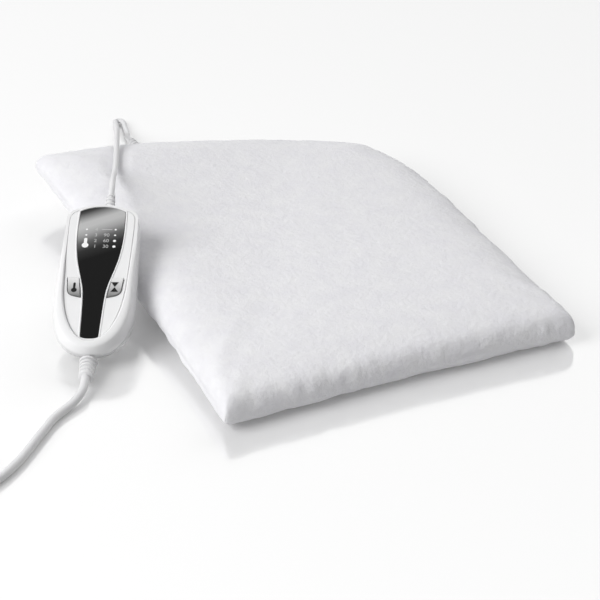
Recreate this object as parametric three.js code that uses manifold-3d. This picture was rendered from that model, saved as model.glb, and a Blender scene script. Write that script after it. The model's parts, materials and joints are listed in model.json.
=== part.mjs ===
// An electric heating pad with a wired hand controller, in millimetres.
// The origin lies under the middle of the pad, on the surface that it rests on. X runs across the pad,
// Y runs along it and +Z is up. The controller leans against the pad's left edge, and its mains lead is
// wound up beside it.

import * as THREE from "three";
import { mergeVertices } from "three/addons/utils/BufferGeometryUtils.js";
import Module from "manifold-3d";

const wasm = await Module();
wasm.setup();
const UP = new THREE.Vector3(0, 0, 1);

// Fits between pieces
const GAP = 0.3;
const BUTTON_CLEARANCE = 0.4;

// Pad: how far each side reaches from the middle, and how far it pulls in between its corners. The back
// side bows out instead, so its pull is negative
const PAD_LEFT = { reach: 157, pull: 8.2 };
const PAD_RIGHT = { reach: 151.8, pull: 0.5 };
const PAD_FRONT = { reach: 191, pull: 5.5 };
const PAD_BACK = { reach: 204.6, pull: -25 };

// Pad: how far each corner is rounded in, and the skew that the soft pad lies with
const TUCK_FRONT_LEFT = 2.1;
const TUCK_FRONT_RIGHT = 2.4;
const TUCK_BACK_LEFT = 5.6;
const TUCK_BACK_RIGHT = 28.3;
const SKEW_ACROSS = 4.4;
const SKEW_ALONG = 13.2;
const EDGE_SLANT = 4.9;

// Pad: seam, crown and cover
const PAD_CROWN = 33;
const SEAM_HEIGHT = 11;
const COVER_THICKNESS = 2;
const SWELL_POWER = 10;
const FLAT_UNDERSIDE = 1.15;

// Pad: the corner that curls up beyond a bend line, by its full lift at the bend's reach
const CORNER_LIFT = 21.8;
const BEND_START = new THREE.Vector2(-150, -234);
const BEND_TURN = THREE.MathUtils.degToRad(28);
const BEND_REACH = 199;
const BEND_POWER = 1.5;

// Pad: heating layer
const HEATER_HEIGHT = 13;
const CARRIER_THICKNESS = 1.2;
const HEATING_WIRE_DIAMETER = 2.6;
const HEATING_WIRE_SEAT = 1;
const HEATING_ROWS = 6;
const HEATING_ROW_PITCH = 53;
const HEATING_FIRST_ROW = 132;
const HEATING_LEFT = 90;
const HEATING_RIGHT = 74;
const HEATING_RETURN = 112;
const HEATING_ROW_SHARES = [0, 0.33, 0.67, 1];
const HEATING_WIRE_STEPS = 100;

// Pad: junction block and the strain relief at the back edge
const PAD_EXIT_X = -57;
const JUNCTION_SIZE = new THREE.Vector3(34, 22, 8);
const PAD_RELIEF_DEPTH = 11;
const PAD_RELIEF_COLLAR = 4.5;
const PAD_RELIEF_NECK = 3.6;
const PAD_RELIEF_BASE = 5;
const PAD_RELIEF_TIP = 3.2;
const PAD_RELIEF_LENGTH = 24;

// Controller: size, lean and its place beside the pad's left reach
const HANDSET_LENGTH = 148;
const HANDSET_WIDTH = 62;
const HANDSET_FRONT = 13;
const HANDSET_BACK = 13;
const HANDSET_WALL = 2.2;
const REAR_ROUNDING = 8;
const HANDSET_TILT = THREE.MathUtils.degToRad(19.6);
const HANDSET_YAW = THREE.MathUtils.degToRad(25.2);
const HANDSET_BESIDE = 23.3;
const HANDSET_FORWARD = 8.7;

// Controller: face plate, dark panel and light windows
const FACE_HEIGHT = 11.9;
const FACE_THICKNESS = 2.2;
const FACE_FOOT_MARGIN = 8.5;
const FACE_TOP_MARGIN = 1.6;
const FACE_SIDE_MARGIN = 5.6;
const PANEL_PROUD = 0.25;
const PANEL_TOP_MARGIN = 3;
const PANEL_FOOT_MARGIN = 12;
const PANEL_WIDTH = 36;
const PANEL_NECK_WIDTH = 17.2;
const PANEL_NECK_HEIGHT = 48.5;
const PANEL_FOOT_WIDTH = 13.2;
const LIGHT_COUNT = 4;
const LIGHT_PITCH = 6;
const LIGHT_FIRST_Y = 50;
const LIGHT_X = 11.2;
const LIGHT_RADIUS = 1.5;

// Controller: buttons and their switches
const BUTTON_PROUD = 1.3;
const BUTTON_FLANGE = 1.2;
const BUTTON_TRAVEL = 0.8;
const BUTTON_CORNERS = [[12.8, -1], [21.4, -1], [20, -17.8], [10.2, -20.6]];
const BUTTON_CORNER_RADII = [1, 1, 4.5, 0.8];
const BUTTON_STEM_RADIUS = 2;
const SWITCH_X = 15.3;
const SWITCH_Y = -10;
const SWITCH_SIZE = 6.2;
const SWITCH_HEIGHT = 3.5;
const PLUNGER_RADIUS = 1.5;
const PLUNGER_PROUD = 1.2;
const PLUNGER_DEPTH = 1.4;

// Controller: circuit board, screws and parts on the board
const BOARD_TOP = -1;
const BOARD_THICKNESS = 1.6;
const BOARD_MARGIN = 3;
const BOARD_FOOT = -54;
const BOARD_HEAD = 58;
const SCREW_PLACES = [[17, 54], [-17, 54], [15, -41], [-15, -41]];
const SCREW_RADIUS = 1.4;
const SCREW_HEAD_RADIUS = 2.8;
const SCREW_HEAD_HEIGHT = 1.8;
const SCREW_REACH = 4.5;
const SCREW_SINK = 3.4;
const FRONT_BOSS_RADIUS = 3.4;
const REAR_BOSS_RADIUS = 4.4;
const LIGHT_BODY = 5;
const FUSE_RADIUS = 2.6;
const FUSE_LENGTH = 20;
const TERMINAL_HALF = 7;
const TERMINAL_DEPTH = 8;
const TERMINAL_HEIGHT = 7;
const MAINS_TERMINAL_Y = -52;
const PAD_TERMINAL_Y = 55;

// Controller: strain reliefs, the small one to the pad and the large one to the mains
const RELIEF_COLLAR_THICKNESS = 3;
const RELIEF_INSET = 8;
const RELIEF_SIDES = 12;
const RIB_COUNT = 4;
const RIB_DEPTH = 0.7;
const TOP_RELIEF_X = 3;
const TOP_RELIEF_COLLAR = 5.4;
const TOP_RELIEF_NECK = 3.6;
const TOP_RELIEF_BASE = 4.8;
const TOP_RELIEF_TIP = 3.2;
const TOP_RELIEF_LENGTH = 24;
const MAINS_RELIEF_COLLAR = 6.6;
const MAINS_RELIEF_NECK = 5;
const MAINS_RELIEF_BASE = 7;
const MAINS_RELIEF_TIP = 4.8;
const MAINS_RELIEF_LENGTH = 21;
const MAINS_RELIEF_BEND = 12;
const CONDUCTOR_RADIUS = 0.9;

// Pad lead: its floor loop and its way over the pad, from the pad's relief to the controller's
const PAD_CORD_DIAMETER = 4.6;
const PAD_CORD_STEPS = 110;
const PAD_CORD_ROUTE = [
  [-57, 263, 23],
  [-55.2, 271, 21.2],
  [-51.8, 280, 18],
  [-48.2, 290, 14],
  [-44.8, 300, 10],
  [-41.9, 310, 6.7],
  [-39.2, 320, 4.2],
  [-36.8, 330, 2.9],
  [-35, 338.5, 2.5],
  [-35.6, 342.9, 2.5],
  [-38.3, 345, 2.5],
  [-41.2, 343.4, 2.5],
  [-42.2, 339.3, 2.5],
  [-44.5, 330, 2.5],
  [-47.8, 321, 3.4],
  [-51.2, 311, 6.2],
  [-54.6, 301, 11.3],
  [-58.3, 290, 17.8],
  [-62.3, 278, 25],
  [-66.3, 266, 32],
  [-70.4, 254, 38.3],
  [-74.1, 243, 43.2],
  [-77.5, 233, 46.4],
  [-81.5, 222, 47.6],
  [-85.9, 210, 47.8],
  [-91.4, 195, 48],
  [-97, 180, 48.4],
  [-102.7, 165, 49.1],
  [-107.7, 152, 51.2],
  [-112.2, 140, 54.6],
  [-116.8, 128, 59.3],
  [-121.3, 116, 64.2],
  [-125.5, 105, 67.9],
  [-129.4, 95, 69.6],
];

// Mains lead: along the floor to a coil, out of the coil and down to the plug. Its places, and those of the
// coil and the plug, are measured from the floor under the controller's middle
const MAINS_CORD_DIAMETER = 6.5;
const MAINS_CORD_STEPS = 16;
const MAINS_CORD_ROUTE = [
  [-45.5, -95.5, 6.9],
  [-51.7, -102.1, 5],
  [-60.2, -108.8, 3.7],
  [-69.2, -114.8, 3.4],
  [-77.7, -121.8, 3.4],
  [-85.7, -130.8, 3.4],
  [-94.7, -140.8, 3.4],
  [-104.7, -152.3, 3.4],
  [-115.7, -164.3, 3.4],
  [-127.7, -175.3, 3.4],
  [-141.7, -185.3, 3.5],
  [-157.7, -193.9, 4.1],
];
const MAINS_TAIL_STEPS = 5;
const MAINS_TAIL_ROUTE = [
  [-256.2, -162.8, 12],
  [-258.3, -152.3, 10.4],
  [-259.4, -141.8, 8.5],
  [-259.7, -132.3, 7.3],
];
const CORD_SIDES = 8;

// Mains lead: the coil and its tie
const COIL_CENTRE = new THREE.Vector2(-204.7, -159.3);
const COIL_TURNS = 6.25;
const COIL_MEAN_RADIUS = 38.5;
const COIL_PITCH = 7.3;
const COIL_START = THREE.MathUtils.degToRad(-70);
const COIL_CLIMB = 0.5;
const COIL_STEPS = 24;
const COIL_SIDES = 6;
const COIL_LIFT = 1.8;
const TIE_WIDTH = 11;
const TIE_THICKNESS = 1.1;
const TIE_CLEARANCE = 0.4;
const TIE_ANGLE = THREE.MathUtils.degToRad(70);

// Plug: where it lies and its size. Each body section has its share of the length, width and height
const PLUG_AT = new THREE.Vector2(-259.7, -124);
const PLUG_RELIEF_LENGTH = 22;
const PLUG_RELIEF_TIP = 4.4;
const PLUG_RELIEF_BASE = 5.8;
const PLUG_BODY_LENGTH = 33;
const PLUG_HALF_WIDTH = 17;
const PLUG_HALF_HEIGHT = 7;
const PLUG_SIDES = 16;
const PLUG_SECTIONS = [
  { along: 0, width: 0.6, height: 0.93, power: 3 },
  { along: 0.2, width: 0.95, height: 1, power: 4 },
  { along: 0.45, width: 1, height: 1, power: 4 },
  { along: 0.8, width: 0.84, height: 0.95, power: 4 },
  { along: 1, width: 0.78, height: 0.9, power: 4 },
];
const PIN_RADIUS = 2;
const PIN_LENGTH = 19;
const PIN_SPACING = 18.6;

// Finishes
const finish = (color, roughness, metalness = 0) => () =>
  new THREE.MeshStandardMaterial({ color, roughness, metalness });
const fleece = finish(0xf1f0f3, 0.95);
const wadding = finish(0xf7f7f5, 1);
const carrierFelt = finish(0xe4e2da, 0.95);
const wireSleeve = finish(0xd9c9a8, 0.6);
const whiteGloss = finish(0xf6f6f6, 0.25);
const whiteSoft = finish(0xf2f2f2, 0.5);
const paleGrey = finish(0xe6e6e6, 0.35);
const blackGloss = finish(0x181818, 0.12);
const silverGrey = finish(0xb9babc, 0.35);
const darkPlastic = finish(0x2a2a2c, 0.6);
const boardGreen = finish(0x2d6a43, 0.6);
const lightLens = finish(0xf2efe2, 0.2);
const terminalGrey = finish(0x8f9396, 0.6);
const steel = finish(0xb8bbbf, 0.3, 0.9);
const nickel = finish(0xcfccc6, 0.25, 0.9);

const part = new THREE.Group();
const handset = new THREE.Group();
const mainsLead = new THREE.Group();
part.add(handset, mainsLead);

function place(group, name, geometry, material) {
  const mesh = new THREE.Mesh(geometry, material());
  mesh.name = name;
  group.add(mesh);
}

// Solids: cutting and joining of closed meshes
function solidOf(geometry) {
  const bare = geometry.clone();
  bare.deleteAttribute("normal");
  bare.deleteAttribute("uv");
  const merged = mergeVertices(bare, 1e-4);
  return new wasm.Manifold(new wasm.Mesh({
    numProp: 3,
    vertProperties: new Float32Array(merged.attributes.position.array),
    triVerts: new Uint32Array(merged.index.array),
  }));
}

function geometryOf(solid) {
  const mesh = solid.getMesh();
  const geometry = new THREE.BufferGeometry();
  geometry.setAttribute("position", new THREE.BufferAttribute(new Float32Array(mesh.vertProperties), 3));
  geometry.setIndex(new THREE.BufferAttribute(new Uint32Array(mesh.triVerts), 1));
  return geometry;
}

function join(geometry, ...others) {
  return geometryOf(others.reduce((solid, other) => solid.add(solidOf(other)), solidOf(geometry)));
}

function cut(geometry, ...tools) {
  return geometryOf(tools.reduce((solid, tool) => solid.subtract(solidOf(tool)), solidOf(geometry)));
}

function common(geometry, other) {
  return geometryOf(solidOf(geometry).intersect(solidOf(other)));
}

// A closed solid through rings of equal point counts, with a fan over each end
function loft(rings) {
  const count = rings[0].length;
  const points = rings.flat();
  const middle = (ring) => ring.reduce((sum, p) => sum.add(p), new THREE.Vector3()).divideScalar(count);
  points.push(middle(rings[0]), middle(rings.at(-1)));
  const faces = [];
  for (let level = 0; level < rings.length - 1; level++) {
    for (let i = 0; i < count; i++) {
      const a = level * count + i;
      const b = level * count + (i + 1) % count;
      faces.push(a, b, b + count, a, b + count, a + count);
    }
  }
  const last = (rings.length - 1) * count;
  for (let i = 0; i < count; i++) {
    const next = (i + 1) % count;
    faces.push(points.length - 2, next, i, points.length - 1, last + i, last + next);
  }
  const geometry = new THREE.BufferGeometry().setFromPoints(points);
  geometry.setIndex(faces);
  return geometry;
}

function prism(points, low, high) {
  const shape = new THREE.Shape(points);
  const geometry = new THREE.ExtrudeGeometry(shape, { depth: high - low, bevelEnabled: false });
  return geometry.translate(0, 0, low);
}

function post(radius, x, y, low, high, sides = 16) {
  const geometry = new THREE.CylinderGeometry(radius, radius, high - low, sides);
  return geometry.rotateX(Math.PI / 2).translate(x, y, (low + high) / 2);
}

function block(low, high) {
  const size = new THREE.Vector3().subVectors(high, low);
  const centre = new THREE.Vector3().addVectors(low, high).multiplyScalar(0.5);
  return new THREE.BoxGeometry(size.x, size.y, size.z).translate(centre.x, centre.y, centre.z);
}

const pointOf = (numbers) => new THREE.Vector3(...numbers);

function tube(points, diameter, sides, steps) {
  const section = new THREE.Shape();
  for (let i = 0; i < sides; i++) {
    const angle = i / sides * 2 * Math.PI;
    const x = diameter / 2 * Math.cos(angle);
    const y = diameter / 2 * Math.sin(angle);
    if (i === 0) section.moveTo(x, y);
    else section.lineTo(x, y);
  }
  const path = new THREE.CatmullRomCurve3(points);
  return new THREE.ExtrudeGeometry(section, { steps, bevelEnabled: false, extrudePath: path });
}

// A piece of round section whose radius changes along a path that is nowhere upright
function turnedAlong(path, radii, sides) {
  const rings = path.map((centre, k) => {
    const ahead = path[Math.min(k + 1, path.length - 1)];
    const behind = path[Math.max(k - 1, 0)];
    const along = new THREE.Vector3().subVectors(ahead, behind).normalize();
    const side = new THREE.Vector3().crossVectors(along, UP).normalize();
    const over = new THREE.Vector3().crossVectors(side, along);
    return Array.from({ length: sides }, (_, i) => {
      const angle = i / sides * 2 * Math.PI;
      return centre.clone()
        .addScaledVector(over, radii[k] * Math.cos(angle))
        .addScaledVector(side, radii[k] * Math.sin(angle));
    });
  });
  return loft(rings);
}

// Distance and radius along a taper with ribs
function ribbedTaper(start, length, first, last) {
  const bands = 2 * RIB_COUNT + 1;
  return Array.from({ length: bands }, (_, band) => {
    const inset = band % 2 === 1 ? RIB_DEPTH : 0;
    return [band / bands, (band + 1) / bands].map((share) =>
      [start + length * share, first + (last - first) * share - inset]);
  }).flat();
}

// Radii of a strain relief against the distance outside its housing: a collar inside, a neck through
// the wall and a ribbed taper outside
function reliefProfile({ depth, collar, neck, base, tip, length }) {
  const profile = [
    [-depth - RELIEF_COLLAR_THICKNESS, collar],
    [-depth, collar],
    [-depth, neck],
    [GAP, neck],
  ];
  return [...profile, ...ribbedTaper(GAP, length, base, tip)];
}

function relief(sizes, sides, centreAt) {
  const profile = reliefProfile(sizes);
  return turnedAlong(profile.map(([t]) => centreAt(t)), profile.map(([, radius]) => radius), sides);
}

// Pad: shape functions. u and v run from -1 to 1 across and along it
function padSides(u, v) {
  const left = v < 0 ? TUCK_FRONT_LEFT : TUCK_BACK_LEFT;
  const right = v < 0 ? TUCK_FRONT_RIGHT : TUCK_BACK_RIGHT;
  return {
    across: u < 0 ? PAD_LEFT : PAD_RIGHT,
    along: v < 0 ? PAD_FRONT : PAD_BACK,
    tuck: u < 0 ? left : right,
  };
}

function padPlan(u, v) {
  const { across, along, tuck } = padSides(u, v);
  return new THREE.Vector2(
    u * (across.reach - across.pull * (1 - v * v) - tuck * v ** 4) + SKEW_ACROSS * u * v,
    v * (along.reach - along.pull * (1 - u * u) - tuck * u ** 4) - SKEW_ALONG * u * v - EDGE_SLANT * u,
  );
}

function padLift(x, y) {
  const beyond = (y - BEND_START.y) * Math.sin(BEND_TURN) - (x - BEND_START.x) * Math.cos(BEND_TURN);
  return CORNER_LIFT * Math.max(0, beyond / BEND_REACH) ** BEND_POWER;
}

function padSwell(u, v) {
  return Math.sqrt((1 - Math.abs(u) ** SWELL_POWER) * (1 - Math.abs(v) ** SWELL_POWER));
}

const coverTop = (u, v) => {
  const rim = SEAM_HEIGHT + GAP / 2 + COVER_THICKNESS;
  return rim + (PAD_CROWN - rim) * padSwell(u, v);
};
const coverUnder = (u, v) => {
  const rim = SEAM_HEIGHT - GAP / 2 - COVER_THICKNESS;
  return rim * Math.max(0, 1 - FLAT_UNDERSIDE * padSwell(u, v));
};

const mirrored = (lines) => [...lines.map((t) => -t), 0, ...[...lines].reverse()];
const ACROSS_LINES = mirrored([1, 0.97, 0.92, 0.84, 0.7, 0.48, 0.24]);
const ALONG_LINES = mirrored([1, 0.975, 0.93, 0.86, 0.76, 0.6, 0.4, 0.2]);
const INNER_REACH = 0.88;
const innerLines = (lines) => lines.filter((t) => Math.abs(t) < INNER_REACH);

// A layer of the pad between two heights, on a grid of lines that all layers share
function padLayer(across, along, upper, lower) {
  const points = [];
  const corner = (level, i, j) => (level * across.length + i) * along.length + j;
  for (const height of [upper, lower]) {
    for (const u of across) {
      for (const v of along) {
        const { x, y } = padPlan(u, v);
        points.push(new THREE.Vector3(x, y, height(u, v) + padLift(x, y)));
      }
    }
  }
  const faces = [];
  const quad = (a, b, c, d) => faces.push(a, b, c, a, c, d);
  const lastU = across.length - 1;
  const lastV = along.length - 1;
  for (let i = 0; i < lastU; i++) {
    for (let j = 0; j < lastV; j++) {
      quad(corner(0, i, j), corner(0, i + 1, j), corner(0, i + 1, j + 1), corner(0, i, j + 1));
      faces.push(corner(1, i, j), corner(1, i + 1, j + 1), corner(1, i + 1, j));
      faces.push(corner(1, i, j), corner(1, i, j + 1), corner(1, i + 1, j + 1));
    }
  }
  for (let i = 0; i < lastU; i++) {
    quad(corner(1, i, 0), corner(1, i + 1, 0), corner(0, i + 1, 0), corner(0, i, 0));
    quad(corner(0, i, lastV), corner(0, i + 1, lastV), corner(1, i + 1, lastV), corner(1, i, lastV));
  }
  for (let j = 0; j < lastV; j++) {
    quad(corner(0, 0, j), corner(0, 0, j + 1), corner(1, 0, j + 1), corner(1, 0, j));
    quad(corner(1, lastU, j), corner(1, lastU, j + 1), corner(0, lastU, j + 1), corner(0, lastU, j));
  }
  const geometry = new THREE.BufferGeometry().setFromPoints(points);
  geometry.setIndex(faces);
  return geometry;
}

// Pad: junction block and strain relief, which share one axis at the seam
const backEdge = (x) => {
  const { across, tuck } = padSides(x, 1);
  return padPlan(x / (across.reach - tuck + SKEW_ACROSS), 1).y;
};
const padEdge = Math.max(backEdge(PAD_EXIT_X - PAD_RELIEF_BASE), backEdge(PAD_EXIT_X + PAD_RELIEF_BASE));
const exitHeight = SEAM_HEIGHT + padLift(PAD_EXIT_X, padEdge);
const junctionHalf = JUNCTION_SIZE.clone().multiplyScalar(0.5);
const junctionBack = padEdge - PAD_RELIEF_DEPTH - RELIEF_COLLAR_THICKNESS - GAP;
const junctionCentre = new THREE.Vector3(PAD_EXIT_X, junctionBack - junctionHalf.y, exitHeight);
const junctionBox = (grow) => {
  const half = junctionHalf.clone().addScalar(grow);
  return block(junctionCentre.clone().sub(half), junctionCentre.clone().add(half));
};
const padRelief = {
  depth: PAD_RELIEF_DEPTH,
  collar: PAD_RELIEF_COLLAR,
  neck: PAD_RELIEF_NECK,
  base: PAD_RELIEF_BASE,
  tip: PAD_RELIEF_TIP,
  length: PAD_RELIEF_LENGTH,
};
const padReliefAt = (t) => new THREE.Vector3(PAD_EXIT_X, padEdge + t, exitHeight);
const padReliefHole = turnedAlong(
  [padReliefAt(-PAD_RELIEF_DEPTH), padReliefAt(PAD_RELIEF_LENGTH)],
  [PAD_RELIEF_NECK + GAP, PAD_RELIEF_NECK + GAP],
  RELIEF_SIDES,
);
place(part, "pad_relief", relief(padRelief, RELIEF_SIDES, padReliefAt), whiteSoft);
place(part, "pad_junction", junctionBox(0), whiteSoft);

// Pad: fleece cover, in two panels that meet at the seam
const lessCover = (height) => (u, v) => height(u, v) - COVER_THICKNESS;
const plusCover = (height) => (u, v) => height(u, v) + COVER_THICKNESS;
const coverTopPanel = padLayer(ACROSS_LINES, ALONG_LINES, coverTop, lessCover(coverTop));
const coverUnderPanel = padLayer(ACROSS_LINES, ALONG_LINES, plusCover(coverUnder), coverUnder);
place(part, "pad_cover_top", cut(coverTopPanel, padReliefHole), fleece);
place(part, "pad_cover_bottom", cut(coverUnderPanel, padReliefHole), fleece);

// Pad: wadding above and below the felt that carries the heating wire
const innerAcross = innerLines(ACROSS_LINES);
const innerAlong = innerLines(ALONG_LINES);
const flatAt = (height) => () => height;
const carrierUnder = HEATER_HEIGHT - CARRIER_THICKNESS / 2;
const carrierTop = HEATER_HEIGHT + CARRIER_THICKNESS / 2;
const wireTop = carrierTop + HEATING_WIRE_SEAT + HEATING_WIRE_DIAMETER;
const innerLayer = (upper, lower) => cut(padLayer(innerAcross, innerAlong, upper, lower), junctionBox(GAP));
const waddingTopUpper = (u, v) => coverTop(u, v) - COVER_THICKNESS - GAP;
const waddingUnderLower = (u, v) => coverUnder(u, v) + COVER_THICKNESS + GAP;
place(part, "wadding_top", innerLayer(waddingTopUpper, flatAt(wireTop + HEATING_WIRE_SEAT)), wadding);
place(part, "heater_carrier", innerLayer(flatAt(carrierTop), flatAt(carrierUnder)), carrierFelt);
place(part, "wadding_bottom", innerLayer(flatAt(carrierUnder - GAP), waddingUnderLower), wadding);

// Pad: heating wire, laid to and fro on the carrier and led back to the junction block
function heatingRoute() {
  const front = junctionBack - JUNCTION_SIZE.y - GAP;
  const quarter = JUNCTION_SIZE.x / 4;
  const bend = HEATING_ROW_PITCH / 2;
  const places = [
    [PAD_EXIT_X - quarter, front],
    [PAD_EXIT_X - quarter, front - HEATING_WIRE_DIAMETER],
    [PAD_EXIT_X - 2 * quarter, HEATING_FIRST_ROW + HEATING_WIRE_DIAMETER],
  ];
  for (let row = 0; row < HEATING_ROWS; row++) {
    const y = HEATING_FIRST_ROW - row * HEATING_ROW_PITCH;
    const leftward = row % 2 === 0;
    const from = leftward ? HEATING_RIGHT : -HEATING_LEFT;
    const to = leftward ? -HEATING_LEFT : HEATING_RIGHT;
    for (const share of HEATING_ROW_SHARES) {
      const x = from + (to - from) * share;
      if (row > 0 || x < PAD_EXIT_X - JUNCTION_SIZE.x) places.push([x, y]);
    }
    const outward = leftward ? -1 : 1;
    if (row < HEATING_ROWS - 1) {
      places.push([to + outward * bend * Math.SQRT1_2, y - bend * (1 - Math.SQRT1_2)]);
      places.push([to + outward * bend, y - bend]);
      places.push([to + outward * bend * Math.SQRT1_2, y - bend * (1 + Math.SQRT1_2)]);
    }
  }
  const lastRow = HEATING_FIRST_ROW - (HEATING_ROWS - 1) * HEATING_ROW_PITCH;
  for (const share of HEATING_ROW_SHARES) {
    places.push([HEATING_RETURN, lastRow + bend + (HEATING_FIRST_ROW - lastRow - bend) * share]);
  }
  const inward = PAD_EXIT_X + 3 * quarter - HEATING_RETURN;
  for (const share of HEATING_ROW_SHARES.slice(1)) {
    places.push([HEATING_RETURN + inward * share, HEATING_FIRST_ROW + (bend / 2) * share]);
  }
  places.push([PAD_EXIT_X + quarter, front - HEATING_WIRE_DIAMETER]);
  places.push([PAD_EXIT_X + quarter, front]);
  const height = carrierTop + HEATING_WIRE_SEAT + HEATING_WIRE_DIAMETER / 2;
  return places.map(([x, y]) => new THREE.Vector3(x, y, height + padLift(x, y)));
}
place(part, "heating_wire", tube(heatingRoute(), HEATING_WIRE_DIAMETER, 6, HEATING_WIRE_STEPS), wireSleeve);

// Controller: outlines, each half drawn from the foot to the head on the right-hand side
function outline(...curves) {
  const right = curves.flatMap(([points, steps]) => {
    const curve = new THREE.CubicBezierCurve(...points.map(([x, y]) => new THREE.Vector2(x, y)));
    return curve.getPoints(steps).slice(0, -1);
  });
  const [x, y] = curves.at(-1)[0].at(-1);
  const left = right.slice(1).reverse().map((p) => new THREE.Vector2(-p.x, p.y));
  return [...right, new THREE.Vector2(x, y), ...left];
}

function grown(points, distance) {
  return points.map((p, i) => {
    const next = points[(i + 1) % points.length];
    const last = points.at(i - 1);
    const along = new THREE.Vector2().subVectors(next, last).normalize();
    return new THREE.Vector2(p.x + along.y * distance, p.y - along.x * distance);
  });
}

const between = (from, to, share) => from.map((p, i) => p.clone().lerp(to[i], share));
const ring = (points, z) => points.map((p) => new THREE.Vector3(p.x, p.y, z));

const halfWidth = HANDSET_WIDTH / 2;
const head = HANDSET_LENGTH / 2;
const bodyOutline = outline(
  [[[0, -head], [0.45 * halfWidth, -head], [0.97 * halfWidth, -0.84 * head], [halfWidth, -0.35 * head]], 9],
  [[[halfWidth, -0.35 * head], [halfWidth, 0.05 * head], [0.955 * halfWidth, 0.5 * head],
    [0.92 * halfWidth, head - 14]], 4],
  [[[0.92 * halfWidth, head - 14], [0.91 * halfWidth, head - 7], [0.82 * halfWidth, head - 4],
    [0.6 * halfWidth, head - 2.2]], 5],
  [[[0.6 * halfWidth, head - 2.2], [0.4 * halfWidth, head - 0.8], [0.2 * halfWidth, head], [0, head]], 3],
);

const faceHalf = halfWidth - FACE_SIDE_MARGIN;
const faceFoot = FACE_FOOT_MARGIN - head;
const faceHead = head - FACE_TOP_MARGIN;
const faceOutline = outline(
  [[[0, faceFoot], [0.4 * faceHalf, faceFoot], [0.86 * faceHalf, faceFoot + 17],
    [0.95 * faceHalf, -0.18 * head]], 9],
  [[[0.95 * faceHalf, -0.18 * head], [faceHalf, 0.1 * head], [1.03 * faceHalf, 0.5 * head],
    [1.03 * faceHalf, faceHead - 12.5]], 4],
  [[[1.03 * faceHalf, faceHead - 12.5], [1.02 * faceHalf, faceHead - 6.5], [0.9 * faceHalf, faceHead - 4],
    [0.68 * faceHalf, faceHead - 2.4]], 5],
  [[[0.68 * faceHalf, faceHead - 2.4], [0.45 * faceHalf, faceHead - 0.9], [0.22 * faceHalf, faceHead],
    [0, faceHead]], 3],
);

const panelHead = head - PANEL_TOP_MARGIN;
const panelFoot = PANEL_FOOT_MARGIN - head;
const panelNeck = panelFoot + PANEL_NECK_HEIGHT;
const panelHalf = PANEL_WIDTH / 2;
const neckHalf = PANEL_NECK_WIDTH / 2;
const footHalf = PANEL_FOOT_WIDTH / 2;
const panelOutline = outline(
  [[[0, panelFoot], [0.4 * footHalf, panelFoot], [0.8 * footHalf, panelFoot + 0.6],
    [footHalf, panelFoot + 1.5]], 2],
  [[[footHalf, panelFoot + 1.5], [footHalf + 0.6, panelFoot + 20], [neckHalf - 1.2, panelNeck - 11],
    [neckHalf, panelNeck]], 4],
  [[[neckHalf, panelNeck], [neckHalf + 1.2, panelNeck + 10], [panelHalf - 3.5, panelNeck + 23],
    [panelHalf - 1.7, panelNeck + 38]], 4],
  [[[panelHalf - 1.7, panelNeck + 38], [panelHalf, panelNeck + 52], [panelHalf + 0.2, panelHead - 22],
    [panelHalf - 0.8, panelHead - 4.2]], 4],
  [[[panelHalf - 0.8, panelHead - 4.2], [0.7 * panelHalf, panelHead - 1.6], [0.4 * panelHalf, panelHead],
    [0, panelHead]], 4],
);

// A straight-sided outline with its own rounding at each corner, moved out by a margin
function roundedOutline(corners, radii, margin) {
  const points = corners.map(([x, y]) => new THREE.Vector2(x, y));
  const turn = Math.sign(THREE.ShapeUtils.area(points));
  const count = points.length;
  const outward = points.map((p, i) => {
    const along = new THREE.Vector2().subVectors(points[(i + 1) % count], p).normalize();
    return new THREE.Vector2(along.y * turn, -along.x * turn);
  });
  const moved = points.map((p, i) => {
    const a = outward.at(i - 1);
    const b = outward[i];
    return p.clone().addScaledVector(a.clone().add(b), margin / (1 + a.dot(b)));
  });
  return moved.flatMap((p, i) => {
    const toLast = new THREE.Vector2().subVectors(moved.at(i - 1), p).normalize();
    const toNext = new THREE.Vector2().subVectors(moved[(i + 1) % count], p).normalize();
    const start = p.clone().addScaledVector(toLast, radii[i] + margin);
    const end = p.clone().addScaledVector(toNext, radii[i] + margin);
    return new THREE.QuadraticBezierCurve(start, p, end).getPoints(3);
  });
}
const buttonOutline = (side, margin) =>
  roundedOutline(BUTTON_CORNERS.map(([x, y]) => [side * x, y]), BUTTON_CORNER_RADII, margin);

// Controller: heights, measured from the plane where the two shells meet
const recessFloor = FACE_HEIGHT - FACE_THICKNESS - GAP;
const cavityTop = recessFloor - HANDSET_WALL;
const boardUnder = BOARD_TOP - BOARD_THICKNESS;
const screwSeat = SCREW_SINK - HANDSET_BACK;
const onBoard = BOARD_TOP + GAP;
const underBoard = boardUnder - GAP;
const switchTop = onBoard + SWITCH_HEIGHT;
const plungerTop = switchTop + PLUNGER_PROUD;
const flangeTop = cavityTop - GAP;
const flangeUnder = flangeTop - BUTTON_FLANGE;
const SIDES = { temperature: -1, timer: 1 };

// Controller: strain reliefs and the holes that they pass through
const topRelief = {
  depth: RELIEF_INSET,
  collar: TOP_RELIEF_COLLAR,
  neck: TOP_RELIEF_NECK,
  base: TOP_RELIEF_BASE,
  tip: TOP_RELIEF_TIP,
  length: TOP_RELIEF_LENGTH,
};
const mainsRelief = {
  depth: RELIEF_INSET,
  collar: MAINS_RELIEF_COLLAR,
  neck: MAINS_RELIEF_NECK,
  base: MAINS_RELIEF_BASE,
  tip: MAINS_RELIEF_TIP,
  length: MAINS_RELIEF_LENGTH,
};
const topReliefAt = (t) => new THREE.Vector3(TOP_RELIEF_X, head + t, 0);
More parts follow.
